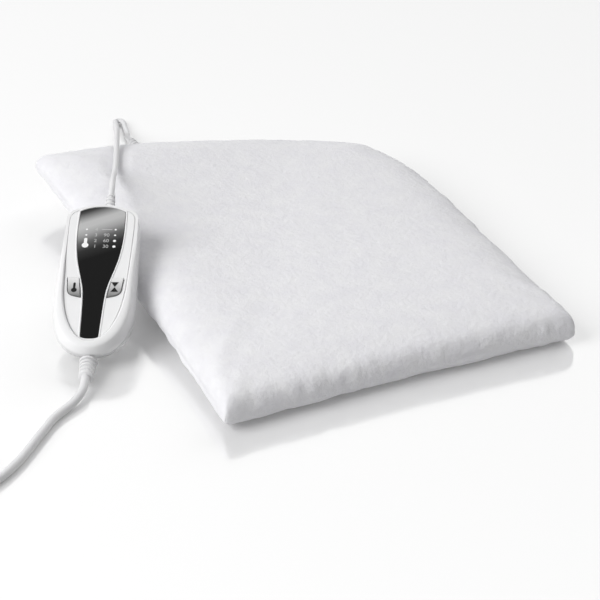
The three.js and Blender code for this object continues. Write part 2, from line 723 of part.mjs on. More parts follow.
// The mains relief bends up by the controller's tilt, so that it comes out level with the floor
const mainsReliefAt = (t) => {
  const bendRadius = MAINS_RELIEF_BEND / HANDSET_TILT;
  const bent = THREE.MathUtils.clamp(t, 0, MAINS_RELIEF_BEND);
  const straight = t - bent;
  const angle = bent / bendRadius;
  return new THREE.Vector3(
    0,
    -head - bendRadius * Math.sin(angle) - straight * Math.cos(angle),
    bendRadius * (1 - Math.cos(angle)) + Math.max(straight, 0) * Math.sin(angle),
  );
};
const reliefHole = (centreAt, neck) => turnedAlong(
  [centreAt(-RELIEF_INSET - GAP), centreAt(RELIEF_INSET)].map((p) => p.setZ(0)),
  [neck + GAP, neck + GAP],
  RELIEF_SIDES,
);
const reliefHoles = [reliefHole(topReliefAt, TOP_RELIEF_NECK), reliefHole(mainsReliefAt, MAINS_RELIEF_NECK)];
place(handset, "pad_lead_relief", relief(topRelief, RELIEF_SIDES, topReliefAt), whiteSoft);
place(handset, "mains_relief", relief(mainsRelief, RELIEF_SIDES, mainsReliefAt), whiteSoft);

// Controller: light windows and screws repeat
const lightPlaces = [];
for (const [column, x] of [["heat", -LIGHT_X], ["timer", LIGHT_X]]) {
  for (let k = 0; k < LIGHT_COUNT; k++) {
    lightPlaces.push({ name: `${column}_light_${k + 1}`, x, y: LIGHT_FIRST_Y - k * LIGHT_PITCH });
  }
}

// Controller: front shell, with a raised rim round the recess for the face plate
const frontLevels = [
  [0, GAP / 2],
  [0, HANDSET_FRONT - 9],
  [0.05, HANDSET_FRONT - 5],
  [0.2, HANDSET_FRONT - 2],
  [0.45, HANDSET_FRONT - 0.4],
  [0.7, HANDSET_FRONT],
  [0.92, HANDSET_FRONT - 0.5],
  [1.02, HANDSET_FRONT - 1.2],
];
const innerBody = grown(bodyOutline, -HANDSET_WALL);
const innerFace = grown(faceOutline, -1);
const frontCavityLevels = [[0, -1], [0, cavityTop - 4], [0.12, cavityTop - 1.6], [0.35, cavityTop]];
const frontOuter = loft(frontLevels.map(([share, z]) => ring(between(bodyOutline, faceOutline, share), z)));
const frontCavity = loft(frontCavityLevels.map(([share, z]) =>
  ring(between(innerBody, innerFace, share), z)));
const frontBosses = SCREW_PLACES.map(([x, y]) => post(FRONT_BOSS_RADIUS, x, y, onBoard, cavityTop + 1));
const pilotHoles = SCREW_PLACES.map(([x, y]) => post(SCREW_RADIUS + GAP, x, y, BOARD_TOP, SCREW_REACH + 1));
const buttonHoles = Object.values(SIDES).map((side) =>
  prism(buttonOutline(side, BUTTON_CLEARANCE), cavityTop - 1, FACE_HEIGHT + 1));
const frontShell = cut(
  join(cut(frontOuter, frontCavity), ...frontBosses),
  prism(faceOutline, recessFloor, HANDSET_FRONT + 1),
  ...pilotHoles,
  ...buttonHoles,
  ...reliefHoles,
  ...lightPlaces.map(({ x, y }) => post(LIGHT_RADIUS + GAP, x, y, cavityTop - 1, FACE_HEIGHT, 10)),
);
place(handset, "front_shell", frontShell, whiteGloss);

// Controller: rear shell, with counterbored posts for the screws
const rearOutline = bodyOutline.map((p) => new THREE.Vector2(
  p.x * (1 - REAR_ROUNDING / halfWidth),
  p.y * (1 - REAR_ROUNDING / head),
));
const rearLevels = [
  [1, -HANDSET_BACK],
  [0.62, 0.5 - HANDSET_BACK],
  [0.3, 2 - HANDSET_BACK],
  [0.08, 5 - HANDSET_BACK],
  [0, 8 - HANDSET_BACK],
  [0, -GAP / 2],
];
const rearCavityLevels = [
  [0.85, HANDSET_WALL - HANDSET_BACK],
  [0.45, HANDSET_WALL + 1 - HANDSET_BACK],
  [0.1, HANDSET_WALL + 4 - HANDSET_BACK],
  [0, HANDSET_WALL + 6 - HANDSET_BACK],
  [0, 1],
];
const rearOuter = loft(rearLevels.map(([share, z]) => ring(between(bodyOutline, rearOutline, share), z)));
const rearCavity = loft(rearCavityLevels.map(([share, z]) =>
  ring(between(innerBody, rearOutline, share), z)));
const rearShell = cut(
  join(
    cut(rearOuter, rearCavity),
    ...SCREW_PLACES.map(([x, y]) => post(REAR_BOSS_RADIUS, x, y, 1 - HANDSET_BACK, underBoard)),
  ),
  ...SCREW_PLACES.map(([x, y]) => post(SCREW_RADIUS + GAP, x, y, -HANDSET_BACK - 1, 0)),
  ...SCREW_PLACES.map(([x, y]) => post(SCREW_HEAD_RADIUS + GAP, x, y, -HANDSET_BACK - 1, screwSeat)),
  ...reliefHoles,
);
place(handset, "rear_shell", rearShell, whiteGloss);

// Controller: face plate in the recess, and the dark panel that fills its opening
const facePlate = cut(
  prism(grown(faceOutline, -GAP), FACE_HEIGHT - FACE_THICKNESS, FACE_HEIGHT),
  prism(grown(panelOutline, GAP), 0, FACE_HEIGHT + 1),
  ...buttonHoles,
);
place(handset, "face_plate", facePlate, paleGrey);
const panelTop = FACE_HEIGHT + PANEL_PROUD;
place(handset, "display_panel", prism(panelOutline, recessFloor + GAP, panelTop), blackGloss);

// Controller: screws, driven from the back into the front shell's bosses
function screw() {
  const top = screwSeat - GAP;
  const profile = [
    [0, top - SCREW_HEAD_HEIGHT],
    [0.6 * SCREW_HEAD_RADIUS, top - SCREW_HEAD_HEIGHT],
    [SCREW_HEAD_RADIUS, top - 0.6 * SCREW_HEAD_HEIGHT],
    [SCREW_HEAD_RADIUS, top],
    [SCREW_RADIUS, top],
    [SCREW_RADIUS, SCREW_REACH - SCREW_RADIUS],
    [0, SCREW_REACH],
  ];
  const section = profile.map(([r, z]) => new THREE.Vector2(r, z));
  const body = new THREE.LatheGeometry(section, 12).rotateX(Math.PI / 2);
  const arm = 0.6 * SCREW_HEAD_RADIUS;
  const slotTop = top - 0.5 * SCREW_HEAD_HEIGHT;
  const slotUnder = top - SCREW_HEAD_HEIGHT - 1;
  const half = 0.2 * SCREW_HEAD_RADIUS;
  return cut(
    body,
    block(new THREE.Vector3(-arm, -half, slotUnder), new THREE.Vector3(arm, half, slotTop)),
    block(new THREE.Vector3(-half, -arm, slotUnder), new THREE.Vector3(half, arm, slotTop)),
  );
}
SCREW_PLACES.forEach(([x, y], k) => place(handset, `case_screw_${k + 1}`, screw().translate(x, y, 0), steel));

// Controller: circuit board, clamped between the screw bosses
const boardBlank = prism(grown(bodyOutline, -HANDSET_WALL - BOARD_MARGIN), boardUnder, BOARD_TOP);
const boardZone = block(
  new THREE.Vector3(-halfWidth, BOARD_FOOT, boardUnder - 1),
  new THREE.Vector3(halfWidth, BOARD_HEAD, BOARD_TOP + 1),
);
const board = cut(
  common(boardBlank, boardZone),
  ...SCREW_PLACES.map(([x, y]) => post(SCREW_RADIUS + GAP, x, y, boardUnder - 1, BOARD_TOP + 1, 12)),
);
place(handset, "circuit_board", board, boardGreen);

// Controller: indicator lights behind the panel
function light() {
  const dome = [0, 30, 60].map((turn) => {
    const angle = THREE.MathUtils.degToRad(turn);
    return [LIGHT_RADIUS * Math.cos(angle), LIGHT_BODY - LIGHT_RADIUS * (1 - Math.sin(angle))];
  });
  const profile = [[0, 0], [LIGHT_RADIUS, 0], ...dome, [0, LIGHT_BODY]];
  return new THREE.LatheGeometry(profile.map(([r, z]) => new THREE.Vector2(r, z)), 8).rotateX(Math.PI / 2);
}
for (const { name, x, y } of lightPlaces) place(handset, name, light().translate(x, y, onBoard), lightLens);

// Controller: push buttons, each over a switch with its own plunger
for (const [name, side] of Object.entries(SIDES)) {
  const x = side * SWITCH_X;
  const half = SWITCH_SIZE / 2;
  const cap = prism(buttonOutline(side, 0), flangeTop - 0.1, FACE_HEIGHT + BUTTON_PROUD);
  const flange = prism(buttonOutline(side, BUTTON_FLANGE), flangeUnder, flangeTop);
  const stem = post(BUTTON_STEM_RADIUS, x, SWITCH_Y, plungerTop + GAP, flangeUnder + 0.1, 12);
  place(handset, `${name}_button`, join(cap, flange, stem), silverGrey);
  const housing = block(
    new THREE.Vector3(x - half, SWITCH_Y - half, onBoard),
    new THREE.Vector3(x + half, SWITCH_Y + half, switchTop),
  );
  const plungerFoot = switchTop - PLUNGER_DEPTH;
  const bore = post(PLUNGER_RADIUS + GAP, x, SWITCH_Y, plungerFoot - BUTTON_TRAVEL - GAP, switchTop + 1, 12);
  place(handset, `${name}_switch`, cut(housing, bore), darkPlastic);
  const plunger = post(PLUNGER_RADIUS, x, SWITCH_Y, plungerFoot, plungerTop, 12);
  place(handset, `${name}_plunger`, plunger, whiteSoft);
}

// Controller: power parts under the board and the small processor on top of it
const underPart = ([x0, x1], [y0, y1], height) =>
  block(new THREE.Vector3(x0, y0, underBoard - height), new THREE.Vector3(x1, y1, underBoard));
place(handset, "capacitor", underPart([-13, 13], [-31, -20], 7), silverGrey);
place(handset, "triac", underPart([7, 17], [0, 15], 4.4), darkPlastic);
place(handset, "fuse", post(FUSE_RADIUS, 0, 0, -FUSE_LENGTH / 2, FUSE_LENGTH / 2, 12)
  .rotateX(Math.PI / 2).translate(-14, 4, underBoard - FUSE_RADIUS), lightLens);
place(handset, "processor", block(
  new THREE.Vector3(-5, 3, onBoard),
  new THREE.Vector3(5, 10, onBoard + 1.8),
), darkPlastic);
place(handset, "mains_terminal", underPart([-TERMINAL_HALF, TERMINAL_HALF],
  [MAINS_TERMINAL_Y, MAINS_TERMINAL_Y + TERMINAL_DEPTH], TERMINAL_HEIGHT), terminalGrey);
place(handset, "pad_terminal", underPart([-TERMINAL_HALF, TERMINAL_HALF],
  [PAD_TERMINAL_Y - TERMINAL_DEPTH, PAD_TERMINAL_Y], TERMINAL_HEIGHT), terminalGrey);

// Controller: conductors from each strain relief to its terminal
const collarInside = head - RELIEF_INSET - RELIEF_COLLAR_THICKNESS - GAP;
const wireHeight = underBoard - TERMINAL_HEIGHT / 2;
for (const [k, side] of [-1, 1].entries()) {
  const spread = side * TERMINAL_HALF / 2;
  const start = side * 2 * CONDUCTOR_RADIUS;
  const conductor = (x, from, to) => tube([
    [x + start, from, -2 * CONDUCTOR_RADIUS],
    [x + start, from + 0.15 * (to - from), -2.4 * CONDUCTOR_RADIUS],
    [spread, from + 0.75 * (to - from), wireHeight],
    [spread, to, wireHeight],
  ].map(pointOf), 2 * CONDUCTOR_RADIUS, 6, 8);
  const mainsWire = conductor(0, -collarInside, MAINS_TERMINAL_Y - GAP);
  const padWire = conductor(TOP_RELIEF_X, collarInside, PAD_TERMINAL_Y + GAP);
  place(handset, `mains_conductor_${k + 1}`, mainsWire, whiteSoft);
  place(handset, `pad_conductor_${k + 1}`, padWire, whiteSoft);
}

// Controller: leaned back against the pad, with the rear shell's foot on the floor
handset.rotation.set(HANDSET_TILT, 0, -HANDSET_YAW, "ZXY");
const leaned = rearShell.clone().applyMatrix4(new THREE.Matrix4().makeRotationFromEuler(handset.rotation));
leaned.computeBoundingBox();
handset.position.set(-PAD_LEFT.reach - HANDSET_BESIDE, -HANDSET_FORWARD, -leaned.boundingBox.min.z);

// Mains coil: two layers of turns, spiralling in below and out above, that climb where the spiral reverses
const coilSpan = COIL_PITCH * COIL_TURNS / 2;
function coilPoint(turn) {
  const fromReversal = turn - COIL_TURNS / 2;
  const radius = COIL_MEAN_RADIUS - coilSpan / 2 + COIL_PITCH * Math.abs(fromReversal);
  const angle = COIL_START - 2 * Math.PI * turn;
  const climbed = THREE.MathUtils.smoothstep(fromReversal, -COIL_CLIMB / 2, COIL_CLIMB / 2);
  return new THREE.Vector3(
    COIL_CENTRE.x + radius * Math.cos(angle),
    COIL_CENTRE.y + radius * Math.sin(angle),
    COIL_LIFT + MAINS_CORD_DIAMETER / 2 + COIL_PITCH * climbed,
  );
}
function coilEnd(turn, away) {
  const angle = COIL_START - 2 * Math.PI * turn;
  return coilPoint(turn).addScaledVector(new THREE.Vector3(Math.sin(angle), -Math.cos(angle), 0), away);
}
const coilCentres = [
  coilEnd(0, -MAINS_CORD_DIAMETER),
  ...Array.from({ length: COIL_TURNS * COIL_STEPS + 1 }, (_, k) => coilPoint(k / COIL_STEPS)),
  coilEnd(COIL_TURNS, MAINS_CORD_DIAMETER),
];
const coilRadii = coilCentres.map(() => MAINS_CORD_DIAMETER / 2);
place(mainsLead, "mains_cord_coil", turnedAlong(coilCentres, coilRadii, COIL_SIDES), whiteSoft);

// Mains coil: the least gap between turns, on centre points at least half a turn apart
let leastGap = Infinity;
for (let i = 0; i < coilCentres.length; i++) {
  for (let j = i + COIL_STEPS / 2; j < coilCentres.length; j++) {
    leastGap = Math.min(leastGap, coilCentres[i].distanceTo(coilCentres[j]) - MAINS_CORD_DIAMETER);
  }
}
console.log(`least gap between the coil's turns: ${leastGap.toFixed(2)} mm`);

// Cords: the free stretches, which leave each relief and each end of the coil straight
handset.updateMatrixWorld();
mainsLead.position.set(handset.position.x, handset.position.y, 0);
const outside = (centreAt, t) => centreAt(t).applyMatrix4(handset.matrixWorld);
const besideHandset = (centreAt, t) => outside(centreAt, t).sub(mainsLead.position);
const padCordPoints = [
  padReliefAt(PAD_RELIEF_LENGTH + 2 * GAP),
  ...PAD_CORD_ROUTE.map(pointOf),
  outside(topReliefAt, TOP_RELIEF_LENGTH + 2 * PAD_CORD_DIAMETER),
  outside(topReliefAt, TOP_RELIEF_LENGTH + 2 * GAP),
];
const mainsCordPoints = [
  besideHandset(mainsReliefAt, MAINS_RELIEF_LENGTH + 2 * GAP),
  besideHandset(mainsReliefAt, MAINS_RELIEF_LENGTH + MAINS_CORD_DIAMETER),
  ...MAINS_CORD_ROUTE.map(pointOf),
  coilEnd(0, -2 * MAINS_CORD_DIAMETER),
  coilEnd(0, -MAINS_CORD_DIAMETER - GAP),
];
const mainsTailPoints = [
  coilEnd(COIL_TURNS, MAINS_CORD_DIAMETER + GAP),
  ...MAINS_TAIL_ROUTE.map(pointOf),
  new THREE.Vector3(PLUG_AT.x, PLUG_AT.y - GAP, PLUG_HALF_HEIGHT),
];
place(part, "pad_cord", tube(padCordPoints, PAD_CORD_DIAMETER, CORD_SIDES, PAD_CORD_STEPS), whiteSoft);
const mainsTube = (points, steps) => tube(points, MAINS_CORD_DIAMETER, CORD_SIDES, steps);
place(mainsLead, "mains_cord", mainsTube(mainsCordPoints, MAINS_CORD_STEPS), whiteSoft);
place(mainsLead, "mains_cord_tail", mainsTube(mainsTailPoints, MAINS_TAIL_STEPS), whiteSoft);

// Mains coil: a flat tie strap round the bundle
function tieStrap() {
  const halfBundle = (coilSpan + MAINS_CORD_DIAMETER) / 2 + 2 * TIE_CLEARANCE;
  const low = COIL_LIFT - TIE_CLEARANCE;
  const high = COIL_LIFT + COIL_PITCH + MAINS_CORD_DIAMETER + TIE_CLEARANCE;
  const loop = (margin) => [
    new THREE.Vector2(COIL_MEAN_RADIUS - halfBundle - margin, low - margin),
    new THREE.Vector2(COIL_MEAN_RADIUS + halfBundle + margin, low - margin),
    new THREE.Vector2(COIL_MEAN_RADIUS + halfBundle + margin, high + margin),
    new THREE.Vector2(COIL_MEAN_RADIUS - halfBundle - margin, high + margin),
  ];
  const shape = new THREE.Shape(loop(TIE_THICKNESS));
  shape.holes.push(new THREE.Path(loop(0)));
  return new THREE.ExtrudeGeometry(shape, { depth: TIE_WIDTH, bevelEnabled: false })
    .translate(0, 0, -TIE_WIDTH / 2)
    .rotateX(Math.PI / 2)
    .rotateZ(TIE_ANGLE)
    .translate(COIL_CENTRE.x, COIL_CENTRE.y, 0);
}
place(mainsLead, "coil_tie", tieStrap(), darkPlastic);

// Plug: flat two-pin body with a ribbed relief, lying on the floor
const plugRelief = ribbedTaper(0, PLUG_RELIEF_LENGTH, PLUG_RELIEF_TIP, PLUG_RELIEF_BASE);
const plugRings = [
  ...plugRelief.map(([along, radius]) => ({ along, halfWidth: radius, halfHeight: radius, power: 2 })),
  ...PLUG_SECTIONS.map(({ along, width, height, power }) => ({
    along: PLUG_RELIEF_LENGTH + along * PLUG_BODY_LENGTH,
    halfWidth: width * PLUG_HALF_WIDTH,
    halfHeight: height * PLUG_HALF_HEIGHT,
    power,
  })),
];
function plugRing({ along, halfWidth: wide, halfHeight: high, power }) {
  const squared = (t) => Math.sign(t) * Math.abs(t) ** (2 / power);
  return Array.from({ length: PLUG_SIDES }, (_, i) => {
    const angle = i / PLUG_SIDES * 2 * Math.PI;
    return new THREE.Vector3(
      PLUG_AT.x + wide * squared(Math.sin(angle)),
      PLUG_AT.y + along,
      PLUG_HALF_HEIGHT + high * squared(Math.cos(angle)),
    );
  });
}
place(mainsLead, "plug_body", loft(plugRings.map(plugRing)), whiteSoft);
const pinStart = PLUG_AT.y + PLUG_RELIEF_LENGTH + PLUG_BODY_LENGTH + GAP;
const pinProfile = [
  [0, 0],
  [PIN_RADIUS, 0],
  [PIN_RADIUS, PIN_LENGTH - 0.6 * PIN_RADIUS],
  [0.5 * PIN_RADIUS, PIN_LENGTH],
  [0, PIN_LENGTH],
];
for (const [k, side] of [-1, 1].entries()) {
  const pin = new THREE.LatheGeometry(pinProfile.map(([r, z]) => new THREE.Vector2(r, z)), 10);
  place(mainsLead, `plug_pin_${k + 1}`, pin.translate(
    PLUG_AT.x + side * PIN_SPACING / 2,
    pinStart,
    PLUG_HALF_HEIGHT,
  ), nickel);
}

export default part;
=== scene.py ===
import json
import math

import bmesh
import bpy
import numpy as np
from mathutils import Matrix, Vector


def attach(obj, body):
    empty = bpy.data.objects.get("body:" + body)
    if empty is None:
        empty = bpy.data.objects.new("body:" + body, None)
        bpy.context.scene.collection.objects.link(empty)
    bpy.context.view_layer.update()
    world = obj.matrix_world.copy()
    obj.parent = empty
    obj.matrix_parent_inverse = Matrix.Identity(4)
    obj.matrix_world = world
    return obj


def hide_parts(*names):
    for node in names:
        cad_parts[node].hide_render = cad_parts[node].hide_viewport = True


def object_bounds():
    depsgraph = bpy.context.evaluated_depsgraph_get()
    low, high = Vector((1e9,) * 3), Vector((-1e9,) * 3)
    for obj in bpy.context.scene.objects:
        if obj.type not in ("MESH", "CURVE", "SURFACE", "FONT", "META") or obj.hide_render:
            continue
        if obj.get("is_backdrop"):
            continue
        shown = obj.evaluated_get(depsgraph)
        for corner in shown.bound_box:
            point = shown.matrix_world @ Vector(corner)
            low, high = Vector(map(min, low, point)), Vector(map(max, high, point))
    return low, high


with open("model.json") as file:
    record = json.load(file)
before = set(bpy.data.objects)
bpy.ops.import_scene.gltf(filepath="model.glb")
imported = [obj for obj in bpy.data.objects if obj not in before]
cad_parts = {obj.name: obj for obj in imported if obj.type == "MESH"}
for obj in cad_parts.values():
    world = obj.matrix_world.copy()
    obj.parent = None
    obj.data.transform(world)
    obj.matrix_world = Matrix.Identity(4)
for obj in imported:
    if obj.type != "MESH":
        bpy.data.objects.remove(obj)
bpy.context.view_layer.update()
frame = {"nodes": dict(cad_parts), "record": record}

scene = bpy.context.scene
scene.view_settings.view_transform = "Standard"


# Camera
# It stands in front of the pad's left side, a little above it, with a long lens. Its small shift puts the
# middle of the pad where the photograph has it.
AZIMUTH = math.radians(-23.5)
ELEVATION = math.radians(28)
DISTANCE = 2.005
LENS, SENSOR = 150, 36
PAD_MIDDLE_PIXEL = (308, 279)
FRAME_PIXELS = 600


def placed(name, data):
    """A new object that carries the data, linked to the scene."""
    item = bpy.data.objects.new(name, data)
    scene.collection.objects.link(item)
    return item


def aimed(name, data, place):
    """An object at a place, turned so that it faces the origin."""
    item = placed(name, data)
    item.location = place
    item.rotation_mode = "QUATERNION"
    item.rotation_quaternion = (-Vector(place)).to_track_quat("-Z", "Y")
    return item


back = Vector((
    math.sin(AZIMUTH) * math.cos(ELEVATION),
    -math.cos(AZIMUTH) * math.cos(ELEVATION),
    math.sin(ELEVATION),
))
lens = bpy.data.cameras.new("camera")
lens.lens = LENS
lens.sensor_width = SENSOR
lens.shift_x = 0.5 - PAD_MIDDLE_PIXEL[0] / FRAME_PIXELS
lens.shift_y = PAD_MIDDLE_PIXEL[1] / FRAME_PIXELS - 0.5
scene.camera = aimed("camera", lens, back * DISTANCE)


# Mains lead
# A round lead with a soft white jacket. It leaves the controller's foot, lies on the floor, and its far part
# is wound into a coil of two layers that ends at the plug.
BASE = "pad_and_controller"
MM, TINY = 0.001, 1e-9
MAINS_DIAMETER = 6.5
CONTROLLER_FOOT = np.array([-180.3, -8.7, 0])
MAINS_ROUTE = [
    (-38.65, -82.14, 8.08), (-41.29, -87.75, 8.08), (-45.5, -95.5, 6.9), (-51.7, -102.1, 5),
    (-60.2, -108.8, 3.7), (-69.2, -114.8, 3.4), (-77.7, -121.8, 3.4), (-85.7, -130.8, 3.4),
    (-94.7, -140.8, 3.4), (-104.7, -152.3, 3.4), (-115.7, -164.3, 3.4), (-127.7, -175.3, 3.4),
    (-141.7, -185.3, 3.5), (-157.7, -193.9, 4.1),
]
MAINS_TAIL_ROUTE = [
    (-256.2, -162.8, 12), (-258.3, -152.3, 10.4), (-259.4, -141.8, 8.5), (-259.7, -132.3, 7.3),
    (-259.7, -124.3, 7),
]
COIL_CENTRE = (-204.7, -159.3)
COIL_TURNS = 6.25
COIL_MEAN_RADIUS = 38.5
COIL_PITCH = 7.3
COIL_START = math.radians(-70)
COIL_CLIMB = 0.5
COIL_LIFT = 1.8
MAINS_SIDES = 16
SHARP_ANGLE = 35
BROAD_SCALE, BROAD_DETAIL, FINE_DETAIL = 45, 3, 4
FINE_RANGE = (0.3, 0.7)
SOCKETS = [("INPUT", "Color", ("Base", "Tint")), ("INPUT", "Float", ("Scale", "Smoothest", "Roughest")),
           ("OUTPUT", "Color", ("Color",)), ("OUTPUT", "Float", ("Roughness", "Height"))]


def smooth_route(points, per_span=8):
    """Centripetal Catmull-Rom curve: each span is a cubic whose end slopes come from its neighbours, weighted
    by the square roots of the chord lengths."""
    points = np.asarray(points, float)
    padded = np.vstack([2 * points[0] - points[1], points, 2 * points[-1] - points[-2]])
    p0, p1, p2, p3 = padded[:-3], padded[1:-2], padded[2:-1], padded[3:]
    chord = lambda a, b: np.sqrt(np.linalg.norm(b - a, axis=1))[:, None]
    d0, d1, d2 = chord(p0, p1), chord(p1, p2), chord(p2, p3)
    m1 = ((p1 - p0) / d0 - (p2 - p0) / (d0 + d1) + (p2 - p1) / d1) * d1
    m2 = ((p2 - p1) / d1 - (p3 - p1) / (d1 + d2) + (p3 - p2) / d2) * d1
    t = np.linspace(0, 1, per_span, endpoint=False)[None, :, None]
    p1, p2, m1, m2 = (a[:, None] for a in (p1, p2, m1, m2))
    spans = ((2 * t**3 - 3 * t**2 + 1) * p1 + (t**3 - 2 * t**2 + t) * m1
             + (3 * t**2 - 2 * t**3) * p2 + (t**3 - t**2) * m2)
    return np.vstack([spans.reshape(-1, 3), points[-1]])


def faded(distance, near, far):
    """Smooth step from 0 at the near distance to 1 at the far one."""
    share = np.clip((distance - near) / (far - near), 0, 1)
    return share * share * (3 - 2 * share)


def coil_route(per_turn=40):
    """A spiral that runs in at a steady pitch for half its turns and out again above, climbing by one pitch
    in the half turn where it reverses."""
    turn = np.linspace(0, COIL_TURNS, int(COIL_TURNS * per_turn) + 1)
    from_reversal = turn - COIL_TURNS / 2
    radius = COIL_MEAN_RADIUS + COIL_PITCH * (np.abs(from_reversal) - COIL_TURNS / 4)
    angle = COIL_START - 2 * np.pi * turn
    climb = faded(from_reversal, -COIL_CLIMB / 2, COIL_CLIMB / 2)
    height = COIL_LIFT + MAINS_DIAMETER / 2 + COIL_PITCH * climb
    return np.stack([
        COIL_CENTRE[0] + radius * np.cos(angle),
        COIL_CENTRE[1] + radius * np.sin(angle),
        height,
    ], axis=1)


def unit(vectors):
    """Vectors divided by their lengths."""
    return vectors / np.maximum(np.linalg.norm(vectors, axis=-1, keepdims=True), TINY)


def full_turn(count):
    """Angles at even steps round a circle."""
    return np.linspace(0, 2 * np.pi, count, endpoint=False)


def carried(path, across, over):
    """Rings of a section carried along a path: the section's first size lies level and square to the path, its
    second size square to both."""
    along = unit(np.gradient(path, axis=0))
    level = unit(np.cross(along, (0, 0, 1)))
    upper = np.cross(level, along)
    return path[:, None] + across[..., None] * level[:, None] + over[..., None] * upper[:, None]


def round_section(radii, sides):
    """Two arrays of ring offsets for a round section, one row for each radius."""
    angle = full_turn(sides)
    radii = np.asarray(radii, float)[:, None]
    return radii * np.cos(angle), radii * np.sin(angle)


def ring_faces(rows, columns, round_rows=False):
    """Quads between rows of points, each row closed on itself, and the last row joined to the first if asked."""
    index = np.arange(rows * columns).reshape(rows, columns)
    below = np.roll(index, -1, axis=0)
    faces = np.stack([index, np.roll(index, -1, axis=1), np.roll(below, -1, axis=1), below], axis=-1)
    return faces[:rows if round_rows else -1].reshape(-1, 4).tolist()


def make_piece(name, points, faces, sharp=SHARP_ANGLE):
    """A mesh object at the origin from points in metres, with its faces turned outwards and its edges shaded
    sharp beyond an angle."""
    mesh = bpy.data.meshes.new(name)
    mesh.from_pydata(points.reshape(-1, 3).tolist(), [], faces)
    shape = bmesh.new()
    shape.from_mesh(mesh)
    bmesh.ops.recalc_face_normals(shape, faces=shape.faces)
    shape.to_mesh(mesh)
    shape.free()
    mesh.shade_smooth()
    mesh.set_sharp_from_angle(angle=math.radians(sharp))
    return placed(name, mesh)


def skin(name, rings, sharp=SHARP_ANGLE):
    """A closed skin over rings of points, in millimetres, with a fan of triangles over each end."""
    rows, columns = rings.shape[:2]
    points = np.vstack([rings.reshape(-1, 3), rings[0].mean(0), rings[-1].mean(0)]) * MM
    base, middle = (rows - 1) * columns, rows * columns
    sides = [(k, (k + 1) % columns) for k in range(columns)]
    fans = [(b, a, middle) for a, b in sides] + [(base + a, base + b, middle + 1) for a, b in sides]
    return make_piece(name, points, ring_faces(rows, columns) + fans, sharp)


def lead_skin(name, path, diameter, sides):
    """A round skin of one diameter carried along a path."""
    return skin(name, carried(path, *round_section(np.full(len(path), diameter / 2), sides)))


def set_inputs(node, values):
    """Sets inputs of a node by their names or places."""
    for name, value in values.items():
        node.inputs[name].default_value = value


def add_node(nodes, kind, inputs=None, **settings):
    """A new shader node of a kind, with its settings and then its inputs set."""
    node = nodes.new(f"ShaderNode{kind}")
    for name, value in settings.items():
        setattr(node, name, value)
    set_inputs(node, inputs or {})
    return node


def wire(link, *wires):
    """Links outputs to inputs: each wire names a node, its output, the next node and its input."""
    for source, output, target, name in wires:
        link(source.outputs[output], target.inputs[name])


def surface_group():
    """Node group for moulded and woven finishes: blends two colours by a noise on object coordinates, and
    gives a roughness between two limits and a height for a bump."""
    group = bpy.data.node_groups.new("surface_variation", "ShaderNodeTree")
    for way, kind, sockets in SOCKETS:
        for socket in sockets:
            group.interface.new_socket(name=socket, in_out=way, socket_type=f"NodeSocket{kind}")
    nodes = group.nodes
    given, result = nodes.new("NodeGroupInput"), nodes.new("NodeGroupOutput")
    place = add_node(nodes, "TexCoord")
    broad = add_node(nodes, "TexNoise", {"Scale": BROAD_SCALE, "Detail": BROAD_DETAIL})
    fine = add_node(nodes, "TexNoise", {"Detail": FINE_DETAIL})
    mix = add_node(nodes, "Mix", data_type="RGBA")
    spread = add_node(nodes, "MapRange", {"From Min": FINE_RANGE[0], "From Max": FINE_RANGE[1]})
    wire(group.links.new, (place, "Object", broad, "Vector"), (place, "Object", fine, "Vector"),
         (given, "Scale", fine, "Scale"), (broad, "Fac", mix, "Factor"), (given, "Base", mix, "A"),
         (given, "Tint", mix, "B"), (fine, "Fac", spread, "Value"), (given, "Smoothest", spread, "To Min"),
         (given, "Roughest", spread, "To Max"), (mix, "Result", result, "Color"),
         (spread, "Result", result, "Roughness"), (fine, "Fac", result, "Height"))
    return group


surface_variation = surface_group()


def new_material(name):
    """A material with its nodes, the call that links them, and its shader."""
    material = bpy.data.materials.new(name)
    material.use_nodes = True
    nodes = material.node_tree.nodes
    return material, nodes, material.node_tree.links.new, nodes["Principled BSDF"]


def finish_of(name, base, tint, scale, roughness, bump, more=None):
    """A material on the shared variation group: two close colours, a roughness range, a bump in metres, and more
    inputs of the shader where they are given."""
    material, nodes, link, shader = new_material(name)
    given = {"Base": (*base, 1), "Tint": (*tint, 1), "Scale": scale, "Smoothest": roughness[0],
             "Roughest": roughness[1]}
    varied = add_node(nodes, "Group", given, node_tree=surface_variation)
    raised = add_node(nodes, "Bump", {"Distance": bump})
    wire(link, (varied, "Color", shader, "Base Color"), (varied, "Roughness", shader, "Roughness"),
         (varied, "Height", raised, "Height"), (raised, "Normal", shader, "Normal"))
    set_inputs(shader, more or {})
    return material


def coat(piece, material):
    """Gives a piece one material in place of those it has."""
    piece.data.materials.clear()
    piece.data.materials.append(material)


def finish(piece, material, slot, *nodes, body=BASE):
    """Gives a piece its material, the CAD nodes that it stands for and the body it rides on; its slot argument is not
    used.
    """
    coat(piece, material)
    if nodes:
        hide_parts(*nodes)
    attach(piece, body)
    return piece


lead_jacket = finish_of("lead_jacket", (0.72, 0.72, 0.725), (0.68, 0.68, 0.69), 900, (0.38, 0.5), 0.00003)
coil = coil_route()
before_coil = coil[0] + unit(coil[0] - coil[1]) * MAINS_DIAMETER
after_coil = coil[-1] + unit(coil[-1] - coil[-2]) * MAINS_DIAMETER
mains_path = CONTROLLER_FOOT + np.vstack([
    smooth_route([*MAINS_ROUTE, before_coil]),
    coil,
    smooth_route([after_coil, *MAINS_TAIL_ROUTE]),
])
mains_lead = finish(lead_skin("mains_lead", mains_path, MAINS_DIAMETER, MAINS_SIDES), lead_jacket, "white_soft",
                    "mains_cord", "mains_cord_coil", "mains_cord_tail")


